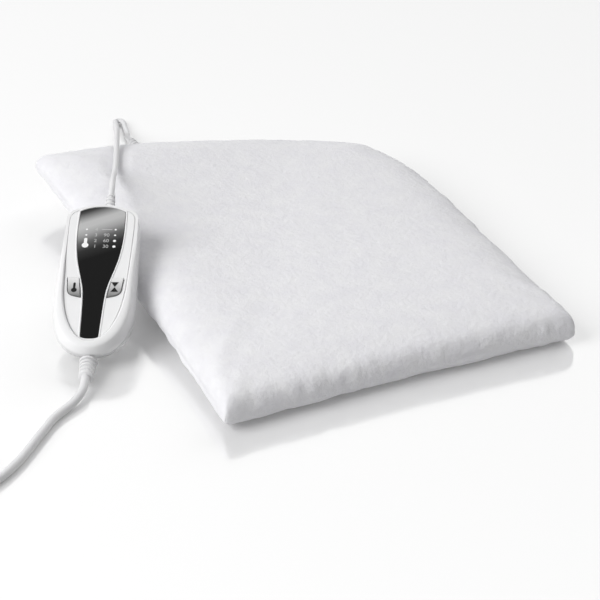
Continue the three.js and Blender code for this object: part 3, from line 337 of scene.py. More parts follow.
# Plug and tie
# A flat two-pin plug, moulded on the lead's end with a ribbed relief, lies beside the coil. A dark woven strap
# holds the coil's turns together.
PLUG_START = np.array([-259.7, -124, 7]) + CONTROLLER_FOOT
PLUG_RELIEF_LENGTH = 22
PLUG_RELIEF_RADII = (4.4, 5.8)
PLUG_BODY_LENGTH = 33
PLUG_HALF_WIDTH = 17
PLUG_HALF_HEIGHT = 7
PLUG_PROFILE = np.array([(0, 0.5, 0.9, 2.4), (0.12, 0.85, 0.98, 3), (0.3, 0.98, 1, 4), (0.5, 1, 1, 4),
                         (0.8, 0.86, 0.96, 4), (0.96, 0.8, 0.92, 4), (1, 0.76, 0.86, 4)])
PLUG_CROWDING = 1.4
RIBS = 4
RIB_SHARE = 0.32
TIE_ANGLE = math.radians(70)
TIE_HALF_WIDTH = 5.5
TIE_THICKNESS = 1.1
TIE_CLEARANCE = 0.4
TIE_CORNER, STRAP_CORNER, STRAP_EDGE = 0.22, 0.15, 0.5
GROOVE_POWER = 0.25


def ribbed(start, length, first, last, per_band=6):
    """Distance and radius along a taper with grooves: the radius falls by a share in every second band, by the
    fourth root of a sine."""
    share = np.linspace(0, 1, per_band * (2 * RIBS + 1) + 1)
    band = share * (2 * RIBS + 1)
    groove = np.where(band.astype(int) % 2 == 1, np.sin(np.pi * (band % 1)) ** GROOVE_POWER, 0)
    return start + length * share, (first + (last - first) * share) * (1 - RIB_SHARE * groove)


def signed_power(wave, power):
    """A power of a wave's size that keeps the wave's sign."""
    return np.sign(wave) * np.abs(wave) ** power


def plug_rings(sections=40, sides=48):
    """Sections along the plug: round on the relief, then superellipses whose width, height and power run straight
    between the profile's rows, up to a flat face."""
    along, radius = ribbed(0, PLUG_RELIEF_LENGTH, *PLUG_RELIEF_RADII)
    share = np.linspace(0, 1, sections) ** PLUG_CROWDING
    wide, high, power = (np.interp(share, PLUG_PROFILE[:, 0], column) for column in PLUG_PROFILE.T[1:])
    along = np.concatenate([along, PLUG_RELIEF_LENGTH + PLUG_BODY_LENGTH * share])[:, None]
    wide = np.concatenate([radius, PLUG_HALF_WIDTH * wide])[:, None]
    high = np.concatenate([radius, PLUG_HALF_HEIGHT * high])[:, None]
    power = np.concatenate([np.full(len(radius), 2.0), power])[:, None]
    angle = full_turn(sides)
    across, over = wide * signed_power(np.cos(angle), 2 / power), high * signed_power(np.sin(angle), 2 / power)
    return PLUG_START + np.stack(np.broadcast_arrays(across, along, over), -1)


def tie_rings(steps=96, sides=20):
    """A flat strap's section carried round the bundle: a rounded rectangle in height and radius, turned to the
    tie's place on the coil."""
    half_wide = (COIL_PITCH * COIL_TURNS / 2 + MAINS_DIAMETER) / 2 + 2 * TIE_CLEARANCE + TIE_THICKNESS / 2
    half_high = (COIL_PITCH + MAINS_DIAMETER) / 2 + TIE_CLEARANCE + TIE_THICKNESS / 2
    angle, turn = full_turn(steps), full_turn(sides)
    radial = half_wide * signed_power(np.cos(angle), TIE_CORNER)
    height = half_high * signed_power(np.sin(angle), TIE_CORNER)
    normal = unit(np.stack([half_high * np.cos(angle), half_wide * np.sin(angle)], axis=1))
    across = TIE_HALF_WIDTH * signed_power(np.cos(turn), STRAP_CORNER)
    out = TIE_THICKNESS / 2 * signed_power(np.sin(turn), STRAP_EDGE)
    r = COIL_MEAN_RADIUS + radial[:, None] + out * normal[:, :1]
    z = COIL_LIFT + (COIL_PITCH + MAINS_DIAMETER) / 2 + height[:, None] + out * normal[:, 1:]
    x = r * math.cos(TIE_ANGLE) - across * math.sin(TIE_ANGLE) + COIL_CENTRE[0]
    y = r * math.sin(TIE_ANGLE) + across * math.cos(TIE_ANGLE) + COIL_CENTRE[1]
    return CONTROLLER_FOOT + np.stack([x, y, z], axis=-1)


def hoop(name, rings, sharp=SHARP_ANGLE):
    """A closed skin over rings of points, in millimetres, whose last ring is joined to the first."""
    return make_piece(name, rings * MM, ring_faces(*rings.shape[:2], round_rows=True), sharp)


plug = finish(skin("plug", plug_rings()), lead_jacket, "white_soft", "plug_body")
strap_weave = finish_of("strap_weave", (0.028, 0.028, 0.03), (0.045, 0.045, 0.048), 2600, (0.75, 0.95), 0.0002)
tie = finish(hoop("coil_strap", tie_rings()), strap_weave, "dark_plastic", "coil_tie")
pin_metal = finish_of("pin_metal", (0.62, 0.6, 0.57), (0.55, 0.54, 0.52), 1500, (0.18, 0.32), 0.00001,
                      {"Metallic": 1.0})
for node in ("plug_pin_1", "plug_pin_2"):
    coat(frame["nodes"][node], pin_metal)


# Pad lead
# A thinner round lead with the same jacket. It leaves the pad's back edge, loops on the floor behind the pad,
# comes back over the pad and goes up into the controller's head.
PAD_LEAD_DIAMETER = 4.6
PAD_LEAD_SIDES = 14
PAD_LEAD_ROUTE = [
    (-57, 257.2, 23.46), (-57, 263, 23), (-55.2, 271, 21.2), (-51.8, 280, 18), (-48.2, 290, 14),
    (-44.8, 300, 10), (-41.9, 310, 6.7), (-39.2, 320, 4.2), (-36.8, 330, 2.9), (-35, 338.5, 2.5),
    (-35.6, 342.9, 2.5), (-38.3, 345, 2.5), (-41.2, 343.4, 2.5), (-42.2, 339.3, 2.5), (-44.5, 330, 2.5),
    (-47.8, 321, 3.4), (-51.2, 311, 6.2), (-54.6, 301, 11.3), (-58.3, 290, 17.8), (-62.3, 278, 25),
    (-66.3, 266, 32), (-70.4, 254, 38.3), (-74.1, 243, 43.2), (-77.5, 233, 46.4), (-81.5, 222, 47.6),
    (-85.9, 210, 47.8), (-91.4, 195, 48), (-97, 180, 48.4), (-102.7, 165, 49.1), (-107.7, 152, 51.2),
    (-112.2, 140, 54.6), (-116.8, 128, 59.3), (-121.3, 116, 64.2), (-125.5, 105, 67.9), (-129.4, 95, 69.6),
    (-134.59, 81.4, 70.9), (-138.1, 73.94, 67.96),
]
pad_path = smooth_route(PAD_LEAD_ROUTE, per_span=6)
pad_lead = finish(lead_skin("pad_lead", pad_path, PAD_LEAD_DIAMETER, PAD_LEAD_SIDES), lead_jacket, "white_soft",
                  "pad_cord")


# Pad
# Two panels of white fleece sewn round the edge over soft wadding. The pad lies slack and skewed, with its back
# left corner curled up, and the seam draws small puckers into its sides.
LEFT_RIGHT_REACH, LEFT_RIGHT_PULL = np.array([157, 151.8]), np.array([8.2, 0.5])
FRONT_BACK_REACH, FRONT_BACK_PULL = np.array([191, 204.6]), np.array([5.5, -25])
CORNER_TUCKS = np.array([(1.4, 3), (1.2, 28.3)])
SKEW_ACROSS, SKEW_ALONG, EDGE_SLANT = 4.4, 13.2, 4.9
PAD_HALF_WIDTH = 154
PAD_CROWN = 33
SEAM_HEIGHT = 11
SWELL_POWER, FRONT_POWER, FRONT_FALL, FRONT_BLEND = 10, 40, 0.3, -0.3
CORNER_POWER = 80
FLAT_UNDERSIDE = 1.15
CORNER_LIFT = 21.8
EDGE_CROWDING = 1.7
PUFF, PUCKER_DEPTH, DENT_DEPTH, SEAM_SINK = 0.45, 1.0, 0.45, 0.7
PUCKERS = [(36, 8, 1), (15, 3, 1), (7, 5, 0.6)]
DENTS = [(60, 11, 1), (28, 12, 0.5)]
PUCKER_REACH, PUCKER_FADE, PUCKER_STRETCH = 12, (0.02, 0.3), (1, 1, 0.3)
DENT_FADE, SEAM_WIDTH = (0, 8), 0.12
HELD_HALF_WIDTH, HELD_HALF_LENGTH, HELD_FADE, HELD_SINK = 29, 74, (0, 22), 0.25
LEAD_LIES_BEFORE, LEAD_LIES_BELOW, LEAD_FADE = 236, 52, (2, 15)
UNDERSIDE_FADE = (60, 10)
FLOOR_CLEARANCE = 0.15
CLOTH_GRID, NOISE_LATTICE = (51, 67), 64
FLEECE_SHADES = [(0.3, (0.755, 0.75, 0.78)), (0.7, (0.8, 0.798, 0.813))]
FLEECE_NOISES = [(60, 4), (210, 4), (1500, 2)]
FLEECE_BUMP = {"Strength": 0.9, "Distance": 0.0009}
FLEECE_SURFACE = {"Roughness": 0.95, "Specular IOR Level": 0.15, "Sheen Weight": 0.25, "Sheen Roughness": 0.5}
FIBRE_SHARE = 0.35
BEND_START, BEND_TURN, BEND_REACH, BEND_POWER = (-150, -234), math.radians(28), 199, 1.5


def pad_plan(u, v):
    """Plan of the pad: a rectangle whose sides pull in by a parabola between its corners, whose corners are
    tucked in by the fourth power of the other parameter, and which is skewed. The tucks have a row for the left
    and one for the right, each with its front corner first."""
    i, j = (u >= 0).astype(int), (v >= 0).astype(int)
    tuck = CORNER_TUCKS[i, j]
    x = u * (LEFT_RIGHT_REACH[i] - LEFT_RIGHT_PULL[i] * (1 - v * v) - tuck * v**4) + SKEW_ACROSS * u * v
    y = v * (FRONT_BACK_REACH[j] - FRONT_BACK_PULL[j] * (1 - u * u) - tuck * u**4)
    return x, y - SKEW_ALONG * u * v - EDGE_SLANT * u


def pad_lift(x, y):
    """Height of the curled corner: a power of the distance beyond the bend line."""
    beyond = (y - BEND_START[1]) * math.sin(BEND_TURN) - (x - BEND_START[0]) * math.cos(BEND_TURN)
    return CORNER_LIFT * np.clip(beyond / BEND_REACH, 0, None) ** BEND_POWER


def pad_swell(u, v):
    """Share of the way out to the seam, and how far both surfaces part there: the root of one minus a high power of
    that share. Along the front side the power is higher, for a tighter edge, and the top falls towards it."""
    reach = np.maximum(np.abs(u), np.abs(v))
    front = faded((-v - np.abs(u)) / np.maximum(reach, TINY), FRONT_BLEND, 0)
    power = SWELL_POWER + (FRONT_POWER - SWELL_POWER) * front
    return reach, np.sqrt(1 - reach**power) * (1 - FRONT_FALL * front * reach**4)


def pad_points(u, v, inset=0.0):
    """Upper and lower surface points over the plan: the square of parameters is drawn in to a superellipse, and
    both surfaces part from the seam by the swell. The lower one is flattened on the floor."""
    reach, swell = pad_swell(u, v)
    rounding = (np.abs(u) ** CORNER_POWER + np.abs(v) ** CORNER_POWER) ** (1 / CORNER_POWER)
    drawn_in = reach / np.maximum(rounding, TINY)
    x, y = pad_plan(u * drawn_in, v * drawn_in)
    upper = SEAM_HEIGHT + (PAD_CROWN - SEAM_HEIGHT - inset) * swell
    lower = np.clip(SEAM_HEIGHT * (1 - FLAT_UNDERSIDE * swell) + inset * swell, 0, None)
    return [np.stack([x, y, height + pad_lift(x, y)], axis=-1) for height in (upper, lower)]


def edge_lines(count):
    """Parameter values from -1 to 1 that stand closer together near the edges."""
    line = np.linspace(-1, 1, count)
    return np.sign(line) * (1 - (1 - np.abs(line)) ** EDGE_CROWDING)


def pad_mesh_parts(across, along):
    """Which points the lower grid does not share with the upper one, and the faces of both: quads, cut in two from
    the corner outwards where they stand at a corner."""
    index = np.arange(across * along).reshape(across, along)
    inner = np.zeros((across, along), bool)
    inner[1:-1, 1:-1] = True
    lower = index.copy()
    lower[inner] = across * along + np.arange(inner.sum())
    quads = lambda grid: np.stack([grid[:-1, :-1], grid[1:, :-1], grid[1:, 1:], grid[:-1, 1:]], -1).reshape(-1, 4)
    faces = np.vstack([quads(index), quads(lower)[:, ::-1]])
    corner = np.isin(faces, index[[0, 0, -1, -1], [0, -1, 0, -1]])
    plain = faces[~corner.any(axis=1)].tolist()
    turned = [np.roll(face, -hit.argmax()) for face, hit in zip(faces, corner) if hit.any()]
    return inner, plain + [face[[0, k, k + 1]].tolist() for face in turned for k in (1, 2)]


def smooth_noise(points, size, seed):
    """Value noise: random values on a lattice of a given size, blended by smooth steps between its corners."""
    table = np.random.default_rng(seed).uniform(-1, 1, (NOISE_LATTICE,) * 3)
    cell = np.floor(points / size).astype(int)
    step = faded(points / size - cell, 0, 1)
    total = np.zeros(points.shape[:-1])
    for corner in np.ndindex(2, 2, 2):
        weight = np.prod(np.where(corner, step, 1 - step), axis=-1)
        total += weight * table[tuple(((cell + corner) % NOISE_LATTICE)[..., axis] for axis in range(3))]
    return total


def layered_noise(points, layers):
    """A weighted sum of value noises, each layer given by its size, seed and weight."""
    return sum(weight * smooth_noise(points, size, seed) for size, seed, weight in layers)


def inflated(across, along, inset=1.5, pressure=4.0, frames=20, quality=6, cap=4.0):
    """How far a cloth of the pad's shape moves under inner pressure, on a coarse grid, in millimetres: Blender's
    cloth runs for some frames without gravity, and each point's move is capped."""
    u, v = np.meshgrid(edge_lines(across), edge_lines(along), indexing="ij")
    upper, lower = pad_points(u, v, inset)
    inner, faces = pad_mesh_parts(across, along)
    start = np.vstack([upper.reshape(-1, 3), lower[inner]])
    cloth_piece = make_piece("pad_cloth", start * MM, faces)
    cloth = cloth_piece.modifiers.new("cloth", "CLOTH")
    cloth.settings.quality = quality
    cloth.settings.use_pressure = True
    cloth.settings.uniform_pressure_force = pressure
    cloth.settings.effector_weights.gravity = 0
    for number in range(1, frames + 1):
        scene.frame_set(number)
    shape = cloth_piece.evaluated_get(bpy.context.evaluated_depsgraph_get())
    moved = np.empty(len(start) * 3)
    shape.data.vertices.foreach_get("co", moved)
    scene.frame_set(1)
    bpy.data.meshes.remove(cloth_piece.data)
    move = moved.reshape(-1, 3) / MM - start
    size = np.linalg.norm(move, axis=1, keepdims=True)
    move *= np.minimum(1, cap / np.maximum(size, TINY))
    upper_move = move[:across * along].reshape(across, along, 3)
    lower_move = upper_move.copy()
    lower_move[inner] = move[across * along:]
    return upper_move, lower_move


def finer(field, across, along):
    """A coarse field of vectors on the pad's grid, blended linearly onto a finer grid along one axis after the
    other."""
    for axis, count in enumerate((across, along)):
        place = np.linspace(0, field.shape[axis] - 1, count)
        before = np.minimum(place.astype(int), field.shape[axis] - 2)
        share = np.expand_dims(place - before, (1 - axis, 2))
        field = (1 - share) * field.take(before, axis) + share * field.take(before + 1, axis)
    return field


def grid_normals(points):
    """Unit normals of a grid of points, upwards for a grid that runs to the right and back."""
    return unit(np.cross(np.gradient(points, axis=0), np.gradient(points, axis=1)))


CONTROLLER_AT = np.array([-180.3, -8.7, 34.9353])
TILT, YAW = math.radians(19.6), math.radians(25.2)
CONTROLLER_TURN = np.array([
    [math.cos(YAW), -math.sin(YAW), 0],
    [math.sin(YAW) * math.cos(TILT), math.cos(YAW) * math.cos(TILT), math.sin(TILT)],
    [-math.sin(YAW) * math.sin(TILT), -math.cos(YAW) * math.sin(TILT), math.cos(TILT)],
])


def held_down(points):
    """How freely the fleece may move: 0 under the controller and the pad lead, 1 well away from them."""
    local = (points - CONTROLLER_AT) @ CONTROLLER_TURN.T
    outside = np.maximum(np.abs(local[..., 0]) - HELD_HALF_WIDTH, np.abs(local[..., 1]) - HELD_HALF_LENGTH)
    lying = pad_path[(pad_path[:, 1] < LEAD_LIES_BEFORE) & (pad_path[:, 2] < LEAD_LIES_BELOW)]
    gap = np.min(np.linalg.norm(points[..., None, :2] - lying[::3, :2], axis=-1), axis=-1)
    return faded(outside, *HELD_FADE) * faded(gap, *LEAD_FADE)


def fleece_pad(across=151, along=201):
    """The pad's skin: the swollen form, moved by the inflated cloth, with puckers along the seam, a narrow groove
    where it is sewn and shallow dents over the top, all along the surface's normal, and kept above the floor."""
    u, v = np.meshgrid(edge_lines(across), edge_lines(along), indexing="ij")
    reach, swell = pad_swell(u, v)
    edge = (1 - reach) * PAD_HALF_WIDTH
    surfaces = pad_points(u, v)
    moves = [finer(field, across, along) for field in inflated(*CLOTH_GRID)]
    skins = []
    for points, move, side in zip(surfaces, moves, (1, -1)):
        free = (held_down(points) if side > 0 else faded(edge, *UNDERSIDE_FADE))[..., None]
        normal = side * grid_normals(points)
        pucker = layered_noise(points * PUCKER_STRETCH, PUCKERS)
        height = PUCKER_DEPTH * pucker * np.exp(-edge / PUCKER_REACH) * faded(swell, *PUCKER_FADE)
        height += DENT_DEPTH * layered_noise(points, DENTS) * faded(edge, *DENT_FADE)
        height -= SEAM_SINK * np.exp(-(swell / SEAM_WIDTH) ** 2)
        points = points + free * (PUFF * np.asarray(move) + normal * height[..., None])
        points -= (1 - free) * HELD_SINK * normal
        points[..., 2] = np.maximum(points[..., 2], FLOOR_CLEARANCE)
        skins.append(points)
    inner, faces = pad_mesh_parts(across, along)
    skins[1][~inner] = skins[0][~inner]
    return make_piece("fleece_pad", np.vstack([skins[0].reshape(-1, 3), skins[1][inner]]) * MM, faces, sharp=60)


def ramp(nodes, stops):
    """A colour ramp: its own two stops become the first and the last, and the others are added between them."""
    node = add_node(nodes, "ValToRGB")
    elements = node.color_ramp.elements
    for element, (position, colour) in zip((elements[0], elements[1]), (stops[0], stops[-1])):
        element.position, element.color = position, (*colour, 1)
    for position, colour in stops[1:-1]:
        elements.new(position).color = (*colour, 1)
    return node


def fleece_finish():
    """Short white fleece: fine fibres and small tufts on object coordinates, a faint cool mottling, and sheen."""
    material, nodes, link, shader = new_material("white_fleece")
    place = add_node(nodes, "TexCoord")
    mottle, tuft, fibre = (add_node(nodes, "TexNoise", {"Scale": scale, "Detail": detail})
                           for scale, detail in FLEECE_NOISES)
    shades = ramp(nodes, FLEECE_SHADES)
    pile = add_node(nodes, "Math", {1: FIBRE_SHARE}, operation="MULTIPLY_ADD")
    raised = add_node(nodes, "Bump", FLEECE_BUMP)
    wire(link, *((place, "Object", noise, "Vector") for noise in (mottle, tuft, fibre)),
         (mottle, "Fac", shades, "Fac"), (shades, "Color", shader, "Base Color"), (fibre, "Fac", pile, 0),
         (tuft, "Fac", pile, 2), (pile, "Value", raised, "Height"), (raised, "Normal", shader, "Normal"))
    set_inputs(shader, FLEECE_SURFACE)
    return material


pad = finish(fleece_pad(), fleece_finish(), "fleece", "pad_cover_top", "pad_cover_bottom")


# Strain reliefs
# Three flexible white sleeves with grooves, moulded over the leads: one at the pad's back edge, one at the
# controller's head and a stouter one at its foot, which bends up to lie level.
RELIEF_GAP = 0.3
RELIEF_INSIDE = 8
RELIEF_ROUNDING = 0.4
RELIEF_SIDES = 32
PAD_RELIEF_REACH = 24.4
HEAD_EXIT = (3, 77.8)
FOOT_EXIT, FOOT_BEND = -74, 12


def controller_points(points):
    """Points measured on the controller, in millimetres, turned and moved to where it leans on the pad."""
    return np.asarray(points, float) @ CONTROLLER_TURN + CONTROLLER_AT


def relief_profile(length, neck, base, tip):
    """Distance and radius of a relief: a neck through the wall and a grooved taper with rounded ends outside."""
    along, radius = ribbed(RELIEF_GAP, length, base, tip)
    radius[[0, -1]] -= RELIEF_ROUNDING
    return np.concatenate([[-RELIEF_INSIDE, 0], along]), np.concatenate([[neck, neck], radius])


def relief(name, node, centre_at, **sizes):
    """A grooved sleeve carried along the line that centre_at gives for each distance."""
    along, radius = relief_profile(**sizes)
    rings = carried(centre_at(along), *round_section(radius, RELIEF_SIDES))
    return finish(skin(name, rings, sharp=50), lead_jacket, "white_soft", node)


def foot_line(t):
    """The foot relief's line: straight inside, an arc that turns up by the controller's tilt over the bend's
    length, and straight again."""
    radius = FOOT_BEND / TILT
    arc = np.clip(t, 0, FOOT_BEND)
    straight = t - arc
    angle = arc / radius
    y = FOOT_EXIT - radius * np.sin(angle) - straight * np.cos(angle)
    z = radius * (1 - np.cos(angle)) + np.maximum(straight, 0) * np.sin(angle)
    return controller_points(np.stack([np.zeros_like(t), y, z], axis=1))


PAD_EXIT = pad_path[0] - (0, PAD_RELIEF_REACH, 0)
relief("pad_edge_relief", "pad_relief", length=24, neck=3.6, base=5, tip=3.2,
       centre_at=lambda t: PAD_EXIT + np.column_stack([0 * t, t, 0 * t]))
relief("head_relief", "pad_lead_relief", length=20.2, neck=3.6, base=4.8, tip=3.2,
       centre_at=lambda t: controller_points(np.column_stack([HEAD_EXIT[0] + 0 * t, HEAD_EXIT[1] + t, 0 * t])))
relief("foot_relief", "mains_relief", foot_line, length=21, neck=5, base=7, tip=5.5)


# Controller case
# Two glossy white shells, moulded in plastic and screwed together from behind. The front one has a raised rim
# round a sunk face, and its sides run down to a thin gap at the parting plane.
HALF_WIDTH, HALF_LENGTH = 31, 74
CASE_BACK = 13
CASE_WALL = 2.2
RECESS_FLOOR = 9.4
LEDGE = 2
RIM_FLUSH, RIM_FADE = 11.85, (0, 44)
REAR_ROUNDING = 8
FOOT_TAPER_FROM, FOOT_SLOPE, FOOT_STEEPENING, FOOT_SPREAD = 6, 0.42, 0.017, 1.5
FRONT_PROFILE = [(0.12, 0.15), (0.03, 0.6), (0, 1.2), (0.03, 4), (0.1, 7.5), (0.18, 10.2), (0.25, 11.8), (0.32, 12.8),
                 (0.45, 13.5), (0.62, 13.9), (0.8, 14), (0.92, 13.3), (1, 11.4)]
FRONT_INSIDE = (4.5, 0.15)
REAR_PROFILE = [(1, -13), (0.62, -12.5), (0.3, -11), (0.08, -8), (0, -5), (0, -2), (0, -0.15)]
REAR_INSIDE = [(0, -0.15), (0, -6), (0.1, -7.5), (0.45, -9.8), (0.85, -10.8)]
SCREWS = [(17, 54), (-17, 54), (15, -41), (-15, -41)]
SCREW_BORE, SCREW_BORE_DEPTH = 3.1, 3.4
NECK_BORES = [(3, 64, 84, 3.8), (0, -60, -82, 5.2)]
BORE_SIDES = 40


def half_outline(start, *curves):
    """A closed outline, symmetric in x: cubic Bezier curves from foot to head on the right, each from where the one
    before it ends, then mirrored."""
    parts = []
    a = np.asarray(start, float)
    for steps, *control in curves:
        t = np.linspace(0, 1, steps, endpoint=False)[:, None]
        b, c, d = np.asarray(control, float)
        parts.append((1 - t)**3 * a + 3 * t * (1 - t)**2 * b + 3 * t**2 * (1 - t) * c + t**3 * d)
        a = d
    right = np.vstack(parts)
    return np.vstack([right, a, (right[1:] * (-1, 1))[::-1]])


def grown(points, distance):
    """An outline moved outwards, each point along the normal of the chord between its neighbours."""
    along = unit(np.roll(points, -1, axis=0) - np.roll(points, 1, axis=0))
    return points + distance * np.stack([along[:, 1], -along[:, 0]], axis=1)


def at_heights(outlines, heights):
    """Rings of outlines on the controller, each at one height or at a height for each point."""
    rings = [np.column_stack([outline, np.broadcast_to(z, len(outline))]) for outline, z in zip(outlines, heights)]
    return controller_points(np.array(rings))


def rounded_levels(levels, per_span):
    """Levels of share and height on a smooth curve through the given ones."""
    return smooth_route(np.column_stack([levels, np.zeros(len(levels))]), per_span)[:, :2]


case_outline = half_outline(
    (0, -74),
    (36, (13.95, -74), (30.07, -62.2), (31, -25.9)),
    (20, (31, 3.7), (29.6, 37), (28.6, 60)),
    (20, (28.3, 67.5), (26.5, 70.5), (21, 72.8)),
    (14, (14, 75.8), (7, 77.8), (0, 77.8)),
)
face_outline = half_outline(
    (0, -64.5),
    (36, (9.8, -64.5), (20.8, -47.5), (23.4, -13.3)),
    (20, (24.6, 7.4), (25.6, 37), (25.6, 59)),
    (20, (25.4, 65.5), (23.8, 68.4), (19, 70.4)),
    (14, (13, 73.4), (6, 75.5), (0, 75.5)),
)
case_inside = grown(case_outline, -CASE_WALL)


def foot_drawn_in(outline, height):
    """The outline with its lower half shortened: the foot tapers below the front rim, by a steady slope that
    grows a little steeper towards the back."""
    depth = max(0, FOOT_TAPER_FROM - height)
    taper = FOOT_SLOPE * depth + FOOT_STEEPENING * depth**2
    lower = np.clip(-outline[:, 1] / HALF_LENGTH, 0, 1)
    return outline + np.column_stack([np.zeros(len(outline)), taper * lower**FOOT_SPREAD])


def case_rings(outlines, heights):
    """Rings of a case half: each outline's foot is drawn in, and what is higher than the face falls to the face's
    level towards the head."""
    outlines = [foot_drawn_in(outline, z) for outline, z in zip(outlines, heights)]
    heights = [z - max(0, z - RIM_FLUSH) * faded(outline[:, 1], *RIM_FADE) for outline, z in zip(outlines, heights)]
    return at_heights(outlines, heights)


def front_case():
    """One closed profile carried round the outline: up the side, over the rim, down into the recess, in along a
    ledge, and back down the inside of the wall."""
    outer = rounded_levels(FRONT_PROFILE, per_span=4)
    outlines = [case_outline + share * (face_outline - case_outline) for share in outer[:, 0]]
    heights = list(outer[:, 1])
    ledge = grown(face_outline, -LEDGE)
    outlines += [face_outline, ledge, ledge, case_inside, case_inside]
    heights += [RECESS_FLOOR, RECESS_FLOOR, RECESS_FLOOR - CASE_WALL, *FRONT_INSIDE]
    return hoop("front_case", case_rings(outlines, heights))


def rear_case():
    """A bowl: its outline shrinks towards a flat back by a rounded profile, and its inside follows at the wall's
    thickness."""
    shrink = np.array([1 - REAR_ROUNDING / HALF_WIDTH, 1 - REAR_ROUNDING / HALF_LENGTH])
    shrunk = np.where(case_outline > 0, case_outline * shrink, case_outline * (shrink[0], 1))
    outer, inner = rounded_levels(REAR_PROFILE, per_span=5), np.array(REAR_INSIDE)
    outlines = [case_outline + share * (shrunk - case_outline) for share in outer[:, 0]]
    outlines += [case_inside + share * (shrunk - case_inside) for share in inner[:, 0]]
    return skin("rear_case", case_rings(outlines, [*outer[:, 1], *inner[:, 1]]))


def bored(piece, *tools):
    """The piece with closed tool pieces cut out of it by Blender's exact boolean."""
    for tool in tools:
        cut = piece.modifiers.new("bore", "BOOLEAN")
        cut.object = tool
        cut.solver = "EXACT"
    shape = piece.evaluated_get(bpy.context.evaluated_depsgraph_get())
    mesh = bpy.data.meshes.new_from_object(shape)
    piece.modifiers.clear()
    piece.data = mesh
    mesh.shade_smooth()
    mesh.set_sharp_from_angle(angle=math.radians(SHARP_ANGLE))
    for tool in tools:
        bpy.data.meshes.remove(tool.data)
    return piece


def arc(x, y, radius, angle):
    """Points of a circle at given angles."""
    return np.column_stack([x + radius * np.cos(angle), y + radius * np.sin(angle)])


def slab(name, outline, low, high):
    """A closed plate of an outline, square to the controller's face between two heights."""
    return skin(name, at_heights([outline, outline], [low, high]))


def neck_tools():
    """Two closed cylinders along the controller, for boring the openings of the reliefs' necks."""
    tools = []
    for x, start, end, radius in NECK_BORES:
        line = controller_points([(x, y, 0) for y in (start, (start + end) / 2, end)])
        tools.append(skin("neck_bore", carried(line, *round_section([radius] * 3, BORE_SIDES))))
    return tools


case_gloss = finish_of("case_gloss", (0.8, 0.8, 0.805), (0.78, 0.78, 0.785), 700, (0.25, 0.27), 0.000002,
                       {"Specular IOR Level": 0.25})
finish(bored(front_case(), *neck_tools()), case_gloss, "white_gloss", "front_shell")
bores = [slab("screw_bore", arc(x, y, SCREW_BORE, full_turn(BORE_SIDES)), -CASE_BACK - 1,
              SCREW_BORE_DEPTH - CASE_BACK) for x, y in SCREWS]
finish(bored(rear_case(), *bores, *neck_tools()), case_gloss, "white_gloss", "rear_shell")


# Face plate and bezel
# A pale grey satin plate lies in the rim's recess, with openings for the dark panel and the two buttons. A narrow
# bright bezel stands a little proud round the panel.
FACE_HEIGHT = 11.9
FACE_THICKNESS = 2.2
BUTTON_CORNERS = np.array([(12.8, -1), (21.4, -1), (20, -17.8), (10.2, -20.6)])
BUTTON_RADII = np.array([1, 1, 4.5, 0.8])
BUTTON_CLEARANCE = 0.7
PLATE_FIT, PANEL_FIT, CHAMFER = 0.2, 0.3, 0.3
OPENING_SPAN = (FACE_HEIGHT - 4, FACE_HEIGHT + 2)
BEZEL_MIDDLE, BEZEL_HALF, BEZEL_HEIGHT, BEZEL_LIFT = 1.0, 0.65, 0.5, 0.02
SIDES = {"temperature": -1, "timer": 1}

panel_outline = half_outline(
    (0, -62),
    (8, (2.6, -62), (5.3, -61.4), (6.6, -60.5)),
    (16, (7.2, -42), (7.4, -24.5), (8.6, -13.5)),
    (16, (9.8, -3.5), (14.5, 9.5), (16.3, 24.5)),
    (16, (18, 38.5), (18.3, 52), (17.4, 69.4)),
    (16, (12.6, 72.4), (7.2, 74.3), (0, 74.3)),
)


def button_outline(side, margin, steps=8):
    """A four-cornered outline moved out by a margin: each corner is a quadratic curve between points at its own
    rounding on the two edges. The left one mirrors the right one."""
    to_next = unit(np.roll(BUTTON_CORNERS, -1, axis=0) - BUTTON_CORNERS)
    outward = np.stack([-to_next[:, 1], to_next[:, 0]], axis=1)
    before = np.roll(outward, 1, axis=0)
    spread = 1 + np.sum(outward * before, axis=1, keepdims=True)
    moved = BUTTON_CORNERS + margin * (outward + before) / spread
    rounding = (BUTTON_RADII + max(margin, 0))[:, None]
    start, end = moved - np.roll(to_next, 1, axis=0) * rounding, moved + to_next * rounding
    t = np.linspace(0, 1, steps)[None, :, None]
    curve = (1 - t)**2 * start[:, None] + 2 * t * (1 - t) * moved[:, None] + t**2 * end[:, None]
    outline = curve.reshape(-1, 2)
    return outline if side > 0 else (outline * (-1, 1))[::-1]


def chamfered(name, outline, low, high, sharp=SHARP_ANGLE):
    """A plate of an outline between two heights, with a small chamfer round its top."""
    return skin(name, at_heights([outline, outline, grown(outline, -CHAMFER)], [low, high - CHAMFER, high]), sharp)


def face_plate():
    """The recess's outline, drawn in by the fit, with a small chamfer on top, less the openings."""
    plate = chamfered("face_plate_skin", grown(face_outline, -PLATE_FIT), FACE_HEIGHT - FACE_THICKNESS, FACE_HEIGHT)
    openings = [grown(panel_outline, PANEL_FIT)]
    openings += [button_outline(side, BUTTON_CLEARANCE) for side in SIDES.values()]
    return bored(plate, *(slab("opening", opening, *OPENING_SPAN) for opening in openings))


def bezel(steps=9):
    """A half-round bead carried round the panel's opening, on the plate."""
    turn = np.linspace(0, np.pi, steps)
    outlines = [grown(panel_outline, BEZEL_MIDDLE - BEZEL_HALF * math.cos(angle)) for angle in turn]
    heights = FACE_HEIGHT + BEZEL_LIFT + BEZEL_HEIGHT * np.sin(turn)
    return hoop("panel_bezel", at_heights(outlines, heights), sharp=60)


